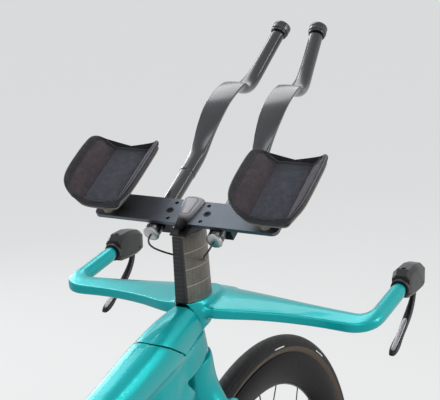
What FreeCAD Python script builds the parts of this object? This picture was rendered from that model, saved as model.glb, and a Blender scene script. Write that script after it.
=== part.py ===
"""Time trial bicycle built as an assembly of separate pieces.

Frame of reference: +X forward, +Y to the rider's left, +Z up, millimetres, ground at zero,
origin midway between the two tyre contact points.
"""
import FreeCAD, Part
import math
import os

VEC = FreeCAD.Vector

# Overall geometry
WHEELBASE = 1000.0
TYRE_RADIUS = 342.0
TYRE_WIDTH = 30.0
BOTTOM_BRACKET_DROP = 75.0
CHAINSTAY_LENGTH = 410.0
HEAD_ANGLE = 72.0
FORK_RAKE = 50.0
SEAT_ANGLE = 78.0

# Clearances and drawing reach
FACE_GAP = 0.3
FIT_GAP = 0.05
FAR = 400.0
OVAL_POINTS = 16
BEND_SHARE = 0.45
EASING_STEPS = 3
FULL_TURN = 360.0

# Head of the frame
CROWN_SEAM_ALONG = 414.3
HEAD_TUBE_LENGTH = 41.0
HEAD_NOSE = 18.8
HEAD_TAIL = 84.0
HEAD_HALF_WIDTH = 20.5
STEERER_RADIUS = 12.7
STEERER_LENGTH = 48.0
BEARING_RADIUS = 15.8
BEARING_HEIGHT = 7.0
COVER_FOOT_RADIUS = 61.0
COVER_FLARE = 0.88
CROWN_SWING_RADIUS = 42.0
NECK_SWING_RADIUS = 36.0

# Frame tubes
TOP_TUBE_HEAD_RISE = 38.5
TOP_TUBE_SEAT_DROP = 56.0
TOP_TUBE_DEPTH = 70.0
TOP_TUBE_HALF_WIDTH = 26.0
TOP_TUBE_SHARES = ((0.00, 0.00, 1.00, 0.78), (0.10, 0.06, 0.97, 0.92), (0.20, 0.17, 0.92, 1.00),
                   (0.30, 0.32, 0.84, 0.98), (0.40, 0.47, 0.76, 0.92), (0.60, 0.72, 0.68, 0.80),
                   (0.80, 0.88, 0.64, 0.72), (1.00, 1.00, 0.62, 0.68))
TOP_TUBE_POWER = 2.5
DOWN_TUBE_HALF_DEPTH = 38.0
DOWN_TUBE_HALF_WIDTH = 24.0
DOWN_TUBE_SHARES = ((0.00, 1.00, 0.85), (0.15, 1.00, 0.95), (0.50, 0.97, 1.00), (0.85, 0.90, 1.00),
                    (1.00, 0.80, 1.00))
DOWN_TUBE_POWER = 2.4
DOWN_TUBE_HEAD_BACK = 58.0
DOWN_TUBE_HEAD_DROP = 8.0
SEAT_TUBE_HEIGHT = 481.0
SEAT_TUBE_DEPTH = 75.0
SEAT_TUBE_HALF_WIDTH = 20.0
SEAT_TUBE_SHARES = ((0.00, 0.37, 0.40, 1.00), (0.156, 0.40, 0.55, 0.95), (0.324, 0.43, 0.45, 0.90),
                    (0.49, 0.43, 0.60, 0.88), (0.70, 0.43, 0.58, 0.88), (1.00, 0.45, 0.55, 0.88))
SEAT_TUBE_POWER = 2.3
SHELL_RADIUS = 27.0
SHELL_HALF_LENGTH = 41.0
CUP_RADIUS = 20.5
CUP_FLANGE_RADIUS = 23.0
CUP_FLANGE_THICK = 2.0
WHEEL_CLEARANCE = 5.0
WHEEL_POCKET_HALF_WIDTH = 19.0

# Stays and dropouts
STAY_HALF_WIDTH = 7.0
CHAINSTAY_HALF_HEIGHT = 17.0
SEATSTAY_HALF_HEIGHT = 13.0
STAY_START_SIDE = 30.0
DROPOUT_SIDE = 75.0
DROPOUT_HALF_THICK = 4.0
DROPOUT_RADIUS = 17.0
CHAINSTAY_SHARES = ((0.00, 0.00, 1.00, 1.00), (0.22, 0.02, 1.00, 1.00), (0.56, 0.42, 0.95, 0.85),
                    (0.96, 1.00, 0.55, 0.65))
SEATSTAY_TOP_RISE = 296.0
SEATSTAY_TOP_SIDE = 13.0
SEATSTAY_SHARES = ((0.00, 0.00, 1.00, 1.00), (0.14, 0.22, 1.00, 1.00), (0.50, 0.55, 0.95, 0.95),
                   (0.97, 1.00, 0.55, 0.80))
STAY_POWER = 2.3
AXLE_RADIUS = 6.0
AXLE_HEAD_RADIUS = 10.0
AXLE_HEAD_THICK = 4.0

# Bottle cage bosses on the down tube
BOSS_SPACING = 64.0
BOSS_HOLE_RADIUS = 2.1
BOSS_HOLE_DEPTH = 12.0
BOSS_RADIUS = 6.0
BOSS_STAND = 1.5
BOSS_SHARE = 0.52

# Fork
FORK_CROWN_DEPTH = 98.0
CROWN_NOSE = 18.8
CROWN_TAIL = 34.0
CROWN_LOW_HALF_WIDTH = 36.0
CROWN_FLARE_SHARES = ((0.00, 0.00), (0.30, 0.00), (0.50, 0.10), (0.75, 0.62), (1.00, 1.00))
LEG_TOP_DROP = 80.0
LEG_TOP_AHEAD = -2.0
LEG_TOP_SIDE = 30.0
LEG_END_SIDE = 57.5
LEG_HALF_CHORD = 28.0
LEG_HALF_THICK = 10.0
LEG_SHARES = ((0.00, 1.00, 1.00), (0.30, 0.92, 0.92), (0.70, 0.72, 0.80), (1.00, 0.55, 0.70))
LEG_POWER = 2.2
FORK_TIP_RADIUS = 15.0
FORK_TIP_FACE = 50.0

# Front wheel
TYRE_WALL = 2.0
BEAD_SIDE = 9.2
BEAD_RADIUS = 309.5
BEAD_KNEE_RADIUS = 314.0
TYRE_WRAP = 120.0
RIM_DEPTH = 50.0
RIM_HALF_WIDTH = 14.0
RIM_LIP_SIDE = 13.2
RIM_EDGE_RADIUS = 316.6
RIM_SIDE_SHARES = ((0.22, 1.00), (0.56, 0.88), (0.86, 0.60))
SPOKE_COUNT = 24
SPOKE_WIDTH = 2.4
SPOKE_THICK = 1.0
SPOKE_LEAN = 24.0
SPOKE_RIM_SIDE = 3.0
SPOKE_PASS_SHARE = 0.8
FLANGE_RADIUS = 22.0
FLANGE_THICK = 3.0
FRONT_FLANGE_SIDES = (-33.0, 24.0)
HUB_BARREL_RADIUS = 12.0
HUB_END_RADIUS = 9.0
FRONT_HUB_HALF_LENGTH = 49.5
HUB_SHOULDER = 5.0
ROTOR_SEAT_RADIUS = 17.0
FRONT_ROTOR_SIDE = 36.0
FRONT_ROTOR_RADIUS = 80.0
ROTOR_THICK = 1.8
ROTOR_TRACK = 13.0
ROTOR_EYE_WALL = 6.0
ROTOR_ARM_WIDTH = 7.0
ROTOR_ARMS = 6

# Rear wheel
REAR_HUB_HALF_LENGTH = 70.5
DISC_HUB_RADIUS = 25.0
DISC_RIGHT_SIDE = 20.0
DISC_LEFT_SIDE = 28.0
REAR_ROTOR_SIDE = 42.0
REAR_ROTOR_RADIUS = 70.0
FREEHUB_RADIUS = 12.0

# Brake calipers
CALIPER_LENGTH = 48.0
CALIPER_HEIGHT = 27.0
CALIPER_SLOT = 4.0
CALIPER_WALL = 8.0
FRONT_CALIPER_FACE = 43.4
FRONT_CALIPER_BACK = 43.0
FRONT_CALIPER_RISE = 60.0
REAR_CALIPER_FACE = 55.0
REAR_CALIPER_AHEAD = 58.0
REAR_CALIPER_RISE = 20.0

# Drive
CHAIN_PITCH = 12.7
CHAIN_LINE = 45.0
CHAIN_HALF_HEIGHT = 3.7
CHAIN_PLATE_IN = 1.6
CHAIN_PLATE_THICK = 1.0
CHAIN_PIN_RADIUS = 1.6
RING_TEETH = 54
COG_TEETH = (11, 12, 13, 14, 15, 17, 19, 21, 23, 25, 28)
CHAIN_COG = 4
COG_SPACING = 3.65
COG_THICK = 1.6
COG_BORE_RADIUS = 17.0
PULLEY_TEETH = 12
TOOTH_THICK = 2.0
TOOTH_RISE = 3.2
TOOTH_FALL = 3.6
TOOTH_SHARES = ((0.00, -1.0), (0.22, -0.9), (0.40, 0.9), (0.60, 0.9), (0.78, -0.9))
RING_PLATE_THICK = 3.0
RING_HOLE_RADIUS = 26.0
SPIDER_RADIUS = 44.0
GUIDE_AHEAD = 12.0
GUIDE_DROP = 75.0
TENSION_AHEAD = 34.0
TENSION_DROP = 82.0
CAGE_IN = 3.4
CAGE_THICK = 1.8
CAGE_HALF_WIDTH = 9.0
PULLEY_PIN_RADIUS = 2.5
KNUCKLE_RADIUS = 10.0
HANGER_DROP = 30.0
HANGER_BACK = 6.0
HANGER_THICK = 6.0
LINK_WIDTH = 16.0
LINK_THICK = 9.0

# Cranks and pedals
CRANK_LENGTH = 170.0
SPINDLE_RADIUS = 12.0
CRANK_INNER_SIDE = 59.0
CRANK_THICK = 13.0
CRANK_HALF_WIDTH = 17.0
CRANK_SHARES = ((-0.10, 0.95), (0.00, 1.00), (0.35, 0.82), (0.80, 0.76), (1.00, 0.85), (1.08, 0.70))
CRANK_POWER = 2.6
PEDAL_AXLE_RADIUS = 4.5
PEDAL_AXLE_LENGTH = 58.0
PEDAL_STAND = 6.0
PEDAL_HALF_LENGTH = 46.0
PEDAL_HALF_WIDTH = 26.0
PEDAL_HALF_HEIGHT = 9.0
PEDAL_SHARES = ((-1.00, 0.55, 0.45), (-0.75, 0.90, 0.85), (0.00, 1.00, 1.00), (0.60, 0.85, 0.90),
                (1.00, 0.50, 0.45))

# Seatpost and saddle
POST_HALF_DEPTH = 22.0
POST_HALF_WIDTH = 9.5
POST_POWER = 2.2
POST_GAP = 0.1
POST_INSERT = 150.0
POST_EXPOSED = 196.0
WEDGE_DEPTH = 9.0
WEDGE_HALF_WIDTH = 6.0
WEDGE_HEIGHT = 30.0
RAIL_RADIUS = 3.5
RAIL_SIDE = 22.0
RAIL_HALF_LENGTH = 70.0
RAIL_NOSE_SIDE = 14.0
RAIL_END_RISE = 18.9
CRADLE_HALF_LENGTH = 19.0
CRADLE_THICK = 9.0
CRADLE_FOOT_SHARE = 0.9
CRADLE_HALF_WIDTH = 29.0
SADDLE_LENGTH = 246.0
SADDLE_HALF_WIDTH = 65.0
SADDLE_NOSE_REACH = 122.0
SHELL_THICK = 4.0
SADDLE_PAD_THICK = 20.0
SADDLE_RISE = 26.0
SADDLE_SHARES = ((0.00, 0.74, 0.55), (0.04, 0.88, 0.85), (0.14, 1.00, 1.00), (0.34, 0.84, 1.00),
                 (0.56, 0.56, 0.92), (0.80, 0.46, 0.90), (0.96, 0.42, 0.82), (1.00, 0.34, 0.50))
SADDLE_ROOF_SHARES = ((1.00, -0.45), (0.98, 0.10), (0.84, 0.62), (0.52, 0.95), (0.22, 1.00), (0.09, 0.82),
                      (0.00, 0.62))
SADDLE_DROOP_SHARE = 0.66
SADDLE_FLOOR_SPAN_SHARE = 0.96
SHELL_SPAN_SHARE = 0.90

# Base bar, measured from the stem foot on the steering axis
STEM_TOP_RISE = 39.0
STEM_REAR_REACH = -3.6
STEM_SEAM_LEAN = 29.0
STEM_HALF_WIDTH = 22.0
STEM_SHARES = ((-0.30, 0.00, 0.64, 0.90), (0.30, 0.28, 0.88, 0.97), (1.00, 0.50, 1.10, 1.00))
STEM_HALF_LENGTH = 44.0
BAR_HALF_SPAN = 227.0
GRIP_SIDE = 221.5
WING_REACH = 92.0
WING_RISE = 26.0
WING_HALF_THICK = 13.0
WING_SHARES = ((0.000, -0.10, 1.00, 0.96, 1.00), (0.160, -0.06, 0.995, 0.92, 0.95),
               (0.355, 0.17, 0.97, 0.82, 0.84), (0.533, 0.32, 0.94, 0.71, 0.80),
               (0.711, 0.42, 0.92, 0.60, 0.80), (0.850, 0.455, 0.91, 0.52, 0.84),
               (0.940, 0.450, 0.91, 0.48, 0.92), (0.990, 0.465, 0.88, 0.47, 0.92),
               (1.018, 0.500, 0.82, 0.46, 0.76), (1.034, 0.550, 0.72, 0.46, 0.42))
WING_POWER = 2.2
GRIP_START_REACH = 56.0
GRIP_START_RISE = 12.0
GRIP_RADIUS = 11.1
GRIP_END_REACH = 172.7
GRIP_END_RISE = 29.5

# Riser tower
TOWER_REAR_REACH = -22.7
TOWER_LENGTH = 74.0
TOWER_LEAN_SHARE = 0.087
TOWER_HALF_WIDTH = 16.5
TOWER_TAPER_SHARE = 0.22
TOWER_SIDE_SHARES = ((0.00, 0.545), (0.18, 0.82), (0.42, 1.00), (0.68, 0.90), (0.88, 0.55), (1.00, 0.00))
SPACER_COUNT = 4
SPACER_HEIGHT = 22.0

# Bridge plate and its fittings, measured from the plate's middle
PLATE_REACH = 1.8
PLATE_RISE = 151.8
PLATE_TILT = 30.0
PLATE_HALF_CHORD = 21.0
PLATE_HALF_SPAN = 130.0
PLATE_THICK = 5.0
PLATE_CORNER = 8.0
PLATE_BOLT_SIDE = 26.6
PLATE_BOLT_RADIUS = 4.6
PLATE_SHANK_RADIUS = 2.9
PLATE_BOLT_SINK = 2.6
BOLT_SOCKET_SHARE = 0.8
PLATE_HOLE_SIDE = 23.0
PLATE_HOLE_ALONG = 14.0
PLATE_HOLE_RADIUS = 2.6
HEAD_BLOCK_HALF_WIDTH = 12.0
HEAD_BLOCK_REAR = -28.0
HEAD_BLOCK_FRONT = 34.0
CAP_REAR = -31.0
CAP_FRONT = 21.5
CAP_HALF_WIDTH = 14.5
CAP_HEIGHT = 7.5
CAP_SHARES = ((0.00, 0.34, 1.10), (0.25, 0.52, 1.12), (0.60, 0.82, 1.06), (1.00, 1.00, 1.00))

# Extensions
EXTENSION_SIDE = 45.0
EXTENSION_RADIUS = 11.0
EXTENSION_DROP = PLATE_THICK + EXTENSION_RADIUS
EXTENSION_REAR = -28.0
EXTENSION_STRAIGHT = 108.0
EXTENSION_LENGTH = 292.0
EXTENSION_RISE = 50.0
EXTENSION_TOE = 16.0
SLEEVE_SHARE = 1.06
EXTENSION_SHARES = (
    (0.00, -0.32, 0.00, 1.07, 1.06, 0.0), (0.06, -0.31, 0.02, 1.10, 1.04, 6.0),
    (0.13, -0.12, 0.05, 1.22, 0.96, 18.0), (0.24, 0.04, 0.10, 1.48, 0.82, 17.0),
    (0.34, 0.14, 0.14, 1.62, 0.70, 6.0), (0.42, 0.10, 0.18, 1.54, 0.66, -14.0),
    (0.50, -0.08, 0.21, 1.42, 0.70, -28.0), (0.58, -0.36, 0.26, 1.24, 0.86, -30.0),
    (0.645, -0.53, 0.33, 1.04, 1.00, -8.0), (0.71, -0.47, 0.47, 0.97, 0.95, 10.0),
    (0.955, -0.22, 0.93, 0.93, 0.93, 10.0))
CLAMP_HALF_LENGTH = 11.0
CLAMP_HALF_WIDTH = 15.0
CLAMP_WALL = 3.5
PLUG_RADIUS = 11.0
PLUG_LENGTH = 5.0
PLUG_ROUND_SHARE = 0.6
COLLAR_RADIUS = 13.0
COLLAR_LENGTH = 16.0
BUTTON_RADIUS = 7.0
BUTTON_LENGTH = 7.0
BUTTON_STAND = 2.5

# Arm rests, measured from the plate's middle
PAD_SIDE = 119.0
PAD_MIDDLE = 33.5
PAD_LENGTH = 108.0
PAD_RISE = 18.5
PAD_HALF_WIDTH = 52.0
PAD_WING_RISE = 27.0
PAD_WING_SHARES = ((1.00, 1.00), (0.87, 0.70), (0.72, 0.36), (0.58, 0.11), (0.49, 0.03))
PAD_FLOOR_SHARES = ((0.442, 0.015), (0.23, 0.035), (0.00, 0.042))
PAD_GROOVE_SHARES = (0.466, -0.04)
PAD_TIP_SHARES = (1.055, 1.02)
PAD_LEVEL_SHARE = 0.03
PAD_BASE_SHARES = ((1.075, 0.92), (0.94, 0.52), (0.76, 0.12), (0.57, -0.20), (0.36, -0.31), (0.00, -0.333))
PAD_END_SHARES = (
    (-0.500, 0.30, 0.35, 0.30), (-0.488, 0.44, 0.75, 0.44), (-0.455, 0.64, 1.00, 0.64),
    (-0.390, 0.84, 1.00, 0.84), (-0.290, 0.96, 1.00, 0.96), (-0.120, 1.00, 1.00, 1.00),
    (0.130, 1.00, 1.00, 1.00), (0.310, 0.98, 1.00, 0.98), (0.410, 0.93, 1.00, 0.93),
    (0.475, 0.83, 0.85, 0.84), (0.500, 0.74, 0.40, 0.76))
CUP_LENGTH_SHARE = 0.94
CUP_THICK = 2.5
CUP_GAP = 0.5
CUP_FOOT_RADIUS = 7.0
CUP_FOOT_ALONG = (-11.0, 11.0)
CUP_FOOT_SIDE = 112.0

# Brake hoods and levers, measured from the stem foot
HOOD_END_REACH = 240.0
HOOD_RISE = 33.5
HOOD_HALF_WIDTH = 13.5
HOOD_HALF_HEIGHT = 20.5
HOOD_SHARES = ((0.00, -0.10, 0.92, 0.72), (0.12, 0.02, 1.00, 0.95), (0.50, 0.00, 1.00, 1.00),
               (0.82, -0.08, 0.94, 0.90), (0.96, -0.14, 0.86, 0.72), (1.00, -0.16, 0.70, 0.56))
HOOD_CORNER_SHARE = 0.42
HOOD_SCREW_RADIUS = 3.2
HOOD_SCREW_HEIGHT = 5.0
HOOD_SCREW_REACH = 184.0
HOOD_SCREW_SHARE = 0.9
LEVER_PIN_REACH = 226.0
LEVER_PIN_RISE = 24.0
LEVER_PIN_RADIUS = 2.2
LEVER_ROOT_RADIUS = 7.0
LEVER_ROOT_HALF_WIDTH = 4.0
LEVER_SLOT_GAP = 0.4
SLOT_BACK_SHARE = 1.5
LEVER_HALF_WIDTH = 5.4
LEVER_HALF_THICK = 4.0
LEVER_BACK = 86.0
LEVER_DROP = 77.0
LEVER_SHARES = ((0.00, 0.03, 0.62, 1.20), (0.01, 0.16, 0.64, 1.20), (0.06, 0.30, 0.70, 1.15),
                (0.18, 0.45, 0.90, 1.00), (0.34, 0.59, 1.00, 0.90), (0.68, 0.82, 1.00, 0.85),
                (0.95, 0.975, 0.95, 0.80), (1.00, 1.00, 0.65, 0.45))

# Shift wires under the bridge plate
WIRE_RADIUS = 1.25
WIRE_BACK = 15.0
WIRE_DROP = 20.0
WIRE_LOW_RISE = 98.0
WIRE_LOW_REACH = -12.0
WIRE_IN_SIDE = 26.0
WIRE_END_REACH = 14.0

AHEAD = VEC(1, 0, 0)
SIDE = VEC(0, 1, 0)
UP = VEC(0, 0, 1)
FRONT_AXLE = VEC(WHEELBASE / 2, 0, TYRE_RADIUS)
REAR_AXLE = VEC(-WHEELBASE / 2, 0, TYRE_RADIUS)
CRANK_BACK = math.sqrt(CHAINSTAY_LENGTH ** 2 - BOTTOM_BRACKET_DROP ** 2)
CRANK_AXIS = REAR_AXLE + VEC(CRANK_BACK, 0, -BOTTOM_BRACKET_DROP)
HEAD_LEAN = math.radians(HEAD_ANGLE)
STEER_UP = VEC(-math.cos(HEAD_LEAN), 0, math.sin(HEAD_LEAN))
STEER_AHEAD = VEC(math.sin(HEAD_LEAN), 0, math.cos(HEAD_LEAN))
STEER_BASE = FRONT_AXLE - AHEAD * (FORK_RAKE / math.sin(HEAD_LEAN))
SEAT_LEAN = math.radians(SEAT_ANGLE)
SEAT_UP = VEC(-math.cos(SEAT_LEAN), 0, math.sin(SEAT_LEAN))
SEAT_AHEAD = VEC(math.sin(SEAT_LEAN), 0, math.cos(SEAT_LEAN))
PLATE_LEAN = math.radians(PLATE_TILT)
PLATE_AHEAD = VEC(math.cos(PLATE_LEAN), 0, math.sin(PLATE_LEAN))
PLATE_UP = VEC(-math.sin(PLATE_LEAN), 0, math.cos(PLATE_LEAN))


def on_steer(along, ahead=0.0):
    """Point on or ahead of the steering axis, measured up it from axle height."""
    return STEER_BASE + STEER_UP * along + STEER_AHEAD * ahead


HEAD_TOP_ALONG = CROWN_SEAM_ALONG + HEAD_TUBE_LENGTH
STEM_FOOT = on_steer(HEAD_TOP_ALONG)


def cockpit(reach, side, rise):
    """Point measured from the stem foot, level with the ground."""
    return STEM_FOOT + VEC(reach, side, rise)


PLATE_MIDDLE = cockpit(PLATE_REACH, 0, PLATE_RISE)


def on_plate(along, side, off):
    """Point measured along, across and off the top face of the bridge plate."""
    return PLATE_MIDDLE + PLATE_AHEAD * along + SIDE * side + PLATE_UP * off


def seat_point(rise, ahead):
    """Point measured up the seat line from the crank axis."""
    return CRANK_AXIS + SEAT_UP * (rise / math.sin(SEAT_LEAN)) + SEAT_AHEAD * ahead


def unit(vector):
    return vector * (1.0 / vector.Length)


def blend(start, end, share):
    return start + (end - start) * share


def ring_wire(points):
    """Closed smooth wire through points."""
    curve = Part.BSplineCurve()
    curve.interpolate(points, PeriodicFlag=True)
    return Part.Wire([curve.toShape()])


def open_curve(points):
    curve = Part.BSplineCurve()
    curve.interpolate(points)
    return curve.toShape()


def both_sides(shares):
    """Side and lift shares from one edge across the middle to the other."""
    return list(shares) + [(-side, lift) for side, lift in reversed(shares[:-1])]


def signed_power(value, power):
    return math.copysign(abs(value) ** (2.0 / power), value)


def oval(centre, across, along, half_across, half_along, power):
    """Closed superellipse in the plane of two directions."""
    points = []
    for index in range(OVAL_POINTS):
        turn = 2.0 * math.pi * index / OVAL_POINTS
        step_across = across * (half_across * signed_power(math.cos(turn), power))
        step_along = along * (half_along * signed_power(math.sin(turn), power))
        points.append(centre + step_across + step_along)
    return ring_wire(points)


def skin(wires):
    return Part.makeLoft(wires, True, False)


def straight_skin(wires):
    return Part.makeLoft(wires, True, True)


def loop_face(points):
    return Part.Face(Part.makePolygon(list(points) + [points[0]]))


def turned(outline, axle):
    """Ring or drum turned about the wheel axle from (radius, side) pairs."""
    face = loop_face([axle + VEC(0, side, radius) for radius, side in outline])
    return face.revolve(axle, SIDE, FULL_TURN)


def drum(axle, radius, side_from, side_to):
    return Part.makeCylinder(radius, side_to - side_from, axle + SIDE * side_from, SIDE)


def tube(axle, outer, inner, side_from, side_to):
    return drum(axle, outer, side_from, side_to).cut(drum(axle, inner, side_from, side_to))


def beam(start, end, across, width, thick):
    """Straight bar of rectangular section."""
    run = end - start
    across = unit(across - unit(run) * across.dot(unit(run)))
    third = unit(run.cross(across))
    half_across = across * (width / 2)
    half_third = third * (thick / 2)
    corners = [start + half_across + half_third, start - half_across + half_third,
               start - half_across - half_third, start + half_across - half_third]
    return loop_face(corners).extrude(run)


def beyond(point, direction):
    """Everything on one side of a plane, near the object."""
    return Part.makeCylinder(FAR, FAR, point, direction)


def merged(shapes):
    whole = shapes[0].multiFuse(shapes[1:])
    return whole.removeSplitter()


def mirrored(shape):
    return shape.mirror(VEC(0, 0, 0), SIDE)


def bent_path(points):
    """Straight runs joined by tangent arcs."""
    edges = []
    start = points[0]
    for before, corner, after in zip(points, points[1:], points[2:]):
        back = before - corner
        ahead = after - corner
        reach = BEND_SHARE * min(back.Length, ahead.Length)
        half_turn = (math.pi - back.getAngle(ahead)) / 2
        radius = reach / math.tan(half_turn)
        bend_from = corner + unit(back) * reach
        bend_to = corner + unit(ahead) * reach
        inward = unit(unit(back) + unit(ahead))
        middle = corner + inward * (radius / math.cos(half_turn) - radius)
        edges.append(Part.makeLine(start, bend_from))
        edges.append(Part.Arc(bend_from, middle, bend_to).toShape())
        start = bend_to
    edges.append(Part.makeLine(start, points[-1]))
    return Part.Wire(edges)


def rod(points, radius):
    path = bent_path(points)
    circle = Part.makeCircle(radius, points[0], points[1] - points[0])
    return path.makePipeShell([Part.Wire([circle])], True, False)


def top_tube():
    head_top = STEM_FOOT + UP * TOP_TUBE_HEAD_RISE
    seat_top = VEC(seat_point(SEAT_TUBE_HEIGHT, 0).x, 0, STEM_FOOT.z - TOP_TUBE_SEAT_DROP)
    wires = []
    for share, fall_share, depth_share, width_share in TOP_TUBE_SHARES:
        half_depth = TOP_TUBE_DEPTH * depth_share / 2
        centre = blend(head_top, seat_top, share) - UP * half_depth
        centre.z = blend(head_top.z, seat_top.z, fall_share) - half_depth
        wires.append(oval(centre, SIDE, UP, TOP_TUBE_HALF_WIDTH * width_share, half_depth, TOP_TUBE_POWER))
    return skin(wires)


def down_tube_ends():
    head = on_steer(CROWN_SEAM_ALONG - DOWN_TUBE_HEAD_DROP, -DOWN_TUBE_HEAD_BACK)
    return head, CRANK_AXIS


def down_tube():
    head, foot = down_tube_ends()
    run = unit(foot - head)
    deep = run.cross(SIDE)
    wires = []
    for share, depth_share, width_share in DOWN_TUBE_SHARES:
        half_width = DOWN_TUBE_HALF_WIDTH * width_share
        half_depth = DOWN_TUBE_HALF_DEPTH * depth_share
        wires.append(oval(blend(head, foot, share), SIDE, deep, half_width, half_depth, DOWN_TUBE_POWER))
    return skin(wires)


def seat_tube():
    wires = []
    for rise_share, front_share, rear_share, width_share in SEAT_TUBE_SHARES:
        front = SEAT_TUBE_DEPTH * front_share
        rear = SEAT_TUBE_DEPTH * rear_share
        centre = seat_point(SEAT_TUBE_HEIGHT * rise_share, 0) + AHEAD * ((front - rear) / 2)
        half_width = SEAT_TUBE_HALF_WIDTH * width_share
        wires.append(oval(centre, AHEAD, SIDE, (front + rear) / 2, half_width, SEAT_TUBE_POWER))
    return skin(wires)


def head_block():
    wires = []
    for along in (CROWN_SEAM_ALONG, (CROWN_SEAM_ALONG + HEAD_TOP_ALONG) / 2, HEAD_TOP_ALONG):
        centre = on_steer(along, (HEAD_NOSE - HEAD_TAIL) / 2)
        half_length = (HEAD_NOSE + HEAD_TAIL) / 2
        wires.append(oval(centre, STEER_AHEAD, SIDE, half_length, HEAD_HALF_WIDTH, SEAT_TUBE_POWER))
    return skin(wires)


def stay(start, end, shares, half_height):
    """One left-hand stay from the frame to the dropout."""
    wires = []
    for share, out_share, width_share, height_share in shares:
        centre = blend(start, end, share)
        centre.y = blend(start.y, end.y, out_share)
        wires.append(oval(centre, SIDE, UP, STAY_HALF_WIDTH * width_share, half_height * height_share,
                          STAY_POWER))
    return skin(wires)


def left_stays():
    dropout = REAR_AXLE + SIDE * DROPOUT_SIDE
    chainstay = stay(CRANK_AXIS + SIDE * STAY_START_SIDE, dropout, CHAINSTAY_SHARES, CHAINSTAY_HALF_HEIGHT)
    top = seat_point(SEATSTAY_TOP_RISE, -STAY_HALF_WIDTH) + SIDE * SEATSTAY_TOP_SIDE
    seatstay = stay(top, dropout, SEATSTAY_SHARES, SEATSTAY_HALF_HEIGHT)
    plate = drum(REAR_AXLE, DROPOUT_RADIUS, DROPOUT_SIDE - DROPOUT_HALF_THICK,
                 DROPOUT_SIDE + DROPOUT_HALF_THICK)
    return [chainstay, seatstay, plate]


def rear_caliper_middle():
    slot_side = REAR_ROTOR_SIDE
    return REAR_AXLE + VEC(REAR_CALIPER_AHEAD, slot_side, REAR_CALIPER_RISE)


def caliper_block(middle, side_from, side_to):
    corner = VEC(middle.x - CALIPER_LENGTH / 2, side_from, middle.z - CALIPER_HEIGHT / 2)
    return Part.makeBox(CALIPER_LENGTH, side_to - side_from, CALIPER_HEIGHT, corner)


def bottle_bosses():
    """Axis points of the two bottle cage bosses and the way they face."""
    head, foot = down_tube_ends()
    run = unit(foot - head)
    face = unit(SIDE.cross(run))
    if face.z < 0:
        face = face * -1
    middle = blend(head, foot, BOSS_SHARE) + face * (DOWN_TUBE_HALF_DEPTH + BOSS_STAND)
    return [middle - run * (BOSS_SPACING / 2), middle + run * (BOSS_SPACING / 2)], face


def post_section(centre, gap):
    return oval(centre, SEAT_AHEAD, SIDE, POST_HALF_DEPTH + gap, POST_HALF_WIDTH + gap, POST_POWER)


def post_blank(low, high, gap):
    return skin([post_section(seat_point(low, 0), gap), post_section(seat_point(high, 0), gap)])


def wedge_box(gap):
    top = seat_point(SEAT_TUBE_HEIGHT - WEDGE_HEIGHT, POST_HALF_DEPTH)
    start = top - SEAT_UP * gap + SEAT_AHEAD * (FACE_GAP - gap)
    size = WEDGE_DEPTH + gap + gap
    corners = [start + SIDE * (WEDGE_HALF_WIDTH + gap), start - SIDE * (WEDGE_HALF_WIDTH + gap),
               start - SIDE * (WEDGE_HALF_WIDTH + gap) + SEAT_AHEAD * size,
               start + SIDE * (WEDGE_HALF_WIDTH + gap) + SEAT_AHEAD * size]
    return loop_face(corners).extrude(SEAT_UP * (WEDGE_HEIGHT + gap))


def frame_blank():
    shell = drum(CRANK_AXIS, SHELL_RADIUS, -SHELL_HALF_LENGTH, SHELL_HALF_LENGTH)
    stays = left_stays()
    rear_boss = caliper_block(rear_caliper_middle(), REAR_CALIPER_FACE, DROPOUT_SIDE - STAY_HALF_WIDTH)
    pieces = [top_tube(), down_tube(), seat_tube(), head_block(), shell, rear_boss]
    pieces += stays
    pieces += [mirrored(piece) for piece in stays]
    points, face = bottle_bosses()
    for point in points:
        pieces.append(Part.makeCylinder(BOSS_RADIUS, DOWN_TUBE_HALF_DEPTH, point, face * -1))
    return merged(pieces)


def swing_space(radius, along, direction):
    """Drum about the steering axis above or below a seam."""
    return Part.makeCylinder(radius, FAR, on_steer(along), direction)


def cover_space(gap):
    """Cone about the steering axis that the rear cover turns in."""
    low = COVER_FOOT_RADIUS + gap
    high = low + FAR * COVER_FLARE
    return Part.makeCone(low, high, FAR, on_steer(HEAD_TOP_ALONG + FACE_GAP - gap), STEER_UP)


def frame():
    body = frame_blank()
    cuts = [cover_space(FACE_GAP)]
    cuts.append(swing_space(CROWN_SWING_RADIUS, CROWN_SEAM_ALONG, STEER_UP * -1))
    cuts.append(swing_space(STEERER_RADIUS + FACE_GAP, CROWN_SEAM_ALONG, STEER_UP))
    for along in (CROWN_SEAM_ALONG, HEAD_TOP_ALONG - BEARING_HEIGHT):
        cuts.append(Part.makeCylinder(BEARING_RADIUS + FIT_GAP, BEARING_HEIGHT, on_steer(along), STEER_UP))
    cuts.append(drum(CRANK_AXIS, CUP_RADIUS + FIT_GAP, -SHELL_HALF_LENGTH, SHELL_HALF_LENGTH))
    cuts.append(drum(REAR_AXLE, TYRE_RADIUS + WHEEL_CLEARANCE, -WHEEL_POCKET_HALF_WIDTH,
                     WHEEL_POCKET_HALF_WIDTH))
    cuts.append(drum(REAR_AXLE, AXLE_RADIUS + FIT_GAP, -FAR, FAR))
    points, face = bottle_bosses()
    for point in points:
        cuts.append(Part.makeCylinder(BOSS_HOLE_RADIUS, BOSS_HOLE_DEPTH, point, face * -1))
    cuts.append(post_blank(SEAT_TUBE_HEIGHT - POST_INSERT - WHEEL_POCKET_HALF_WIDTH, SEAT_TUBE_HEIGHT + FAR,
                           POST_GAP))
    cuts.append(wedge_box(FIT_GAP))
    for cut in cuts:
        body = body.cut(cut)
    return max(body.Solids, key=lambda solid: solid.Volume)


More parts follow.
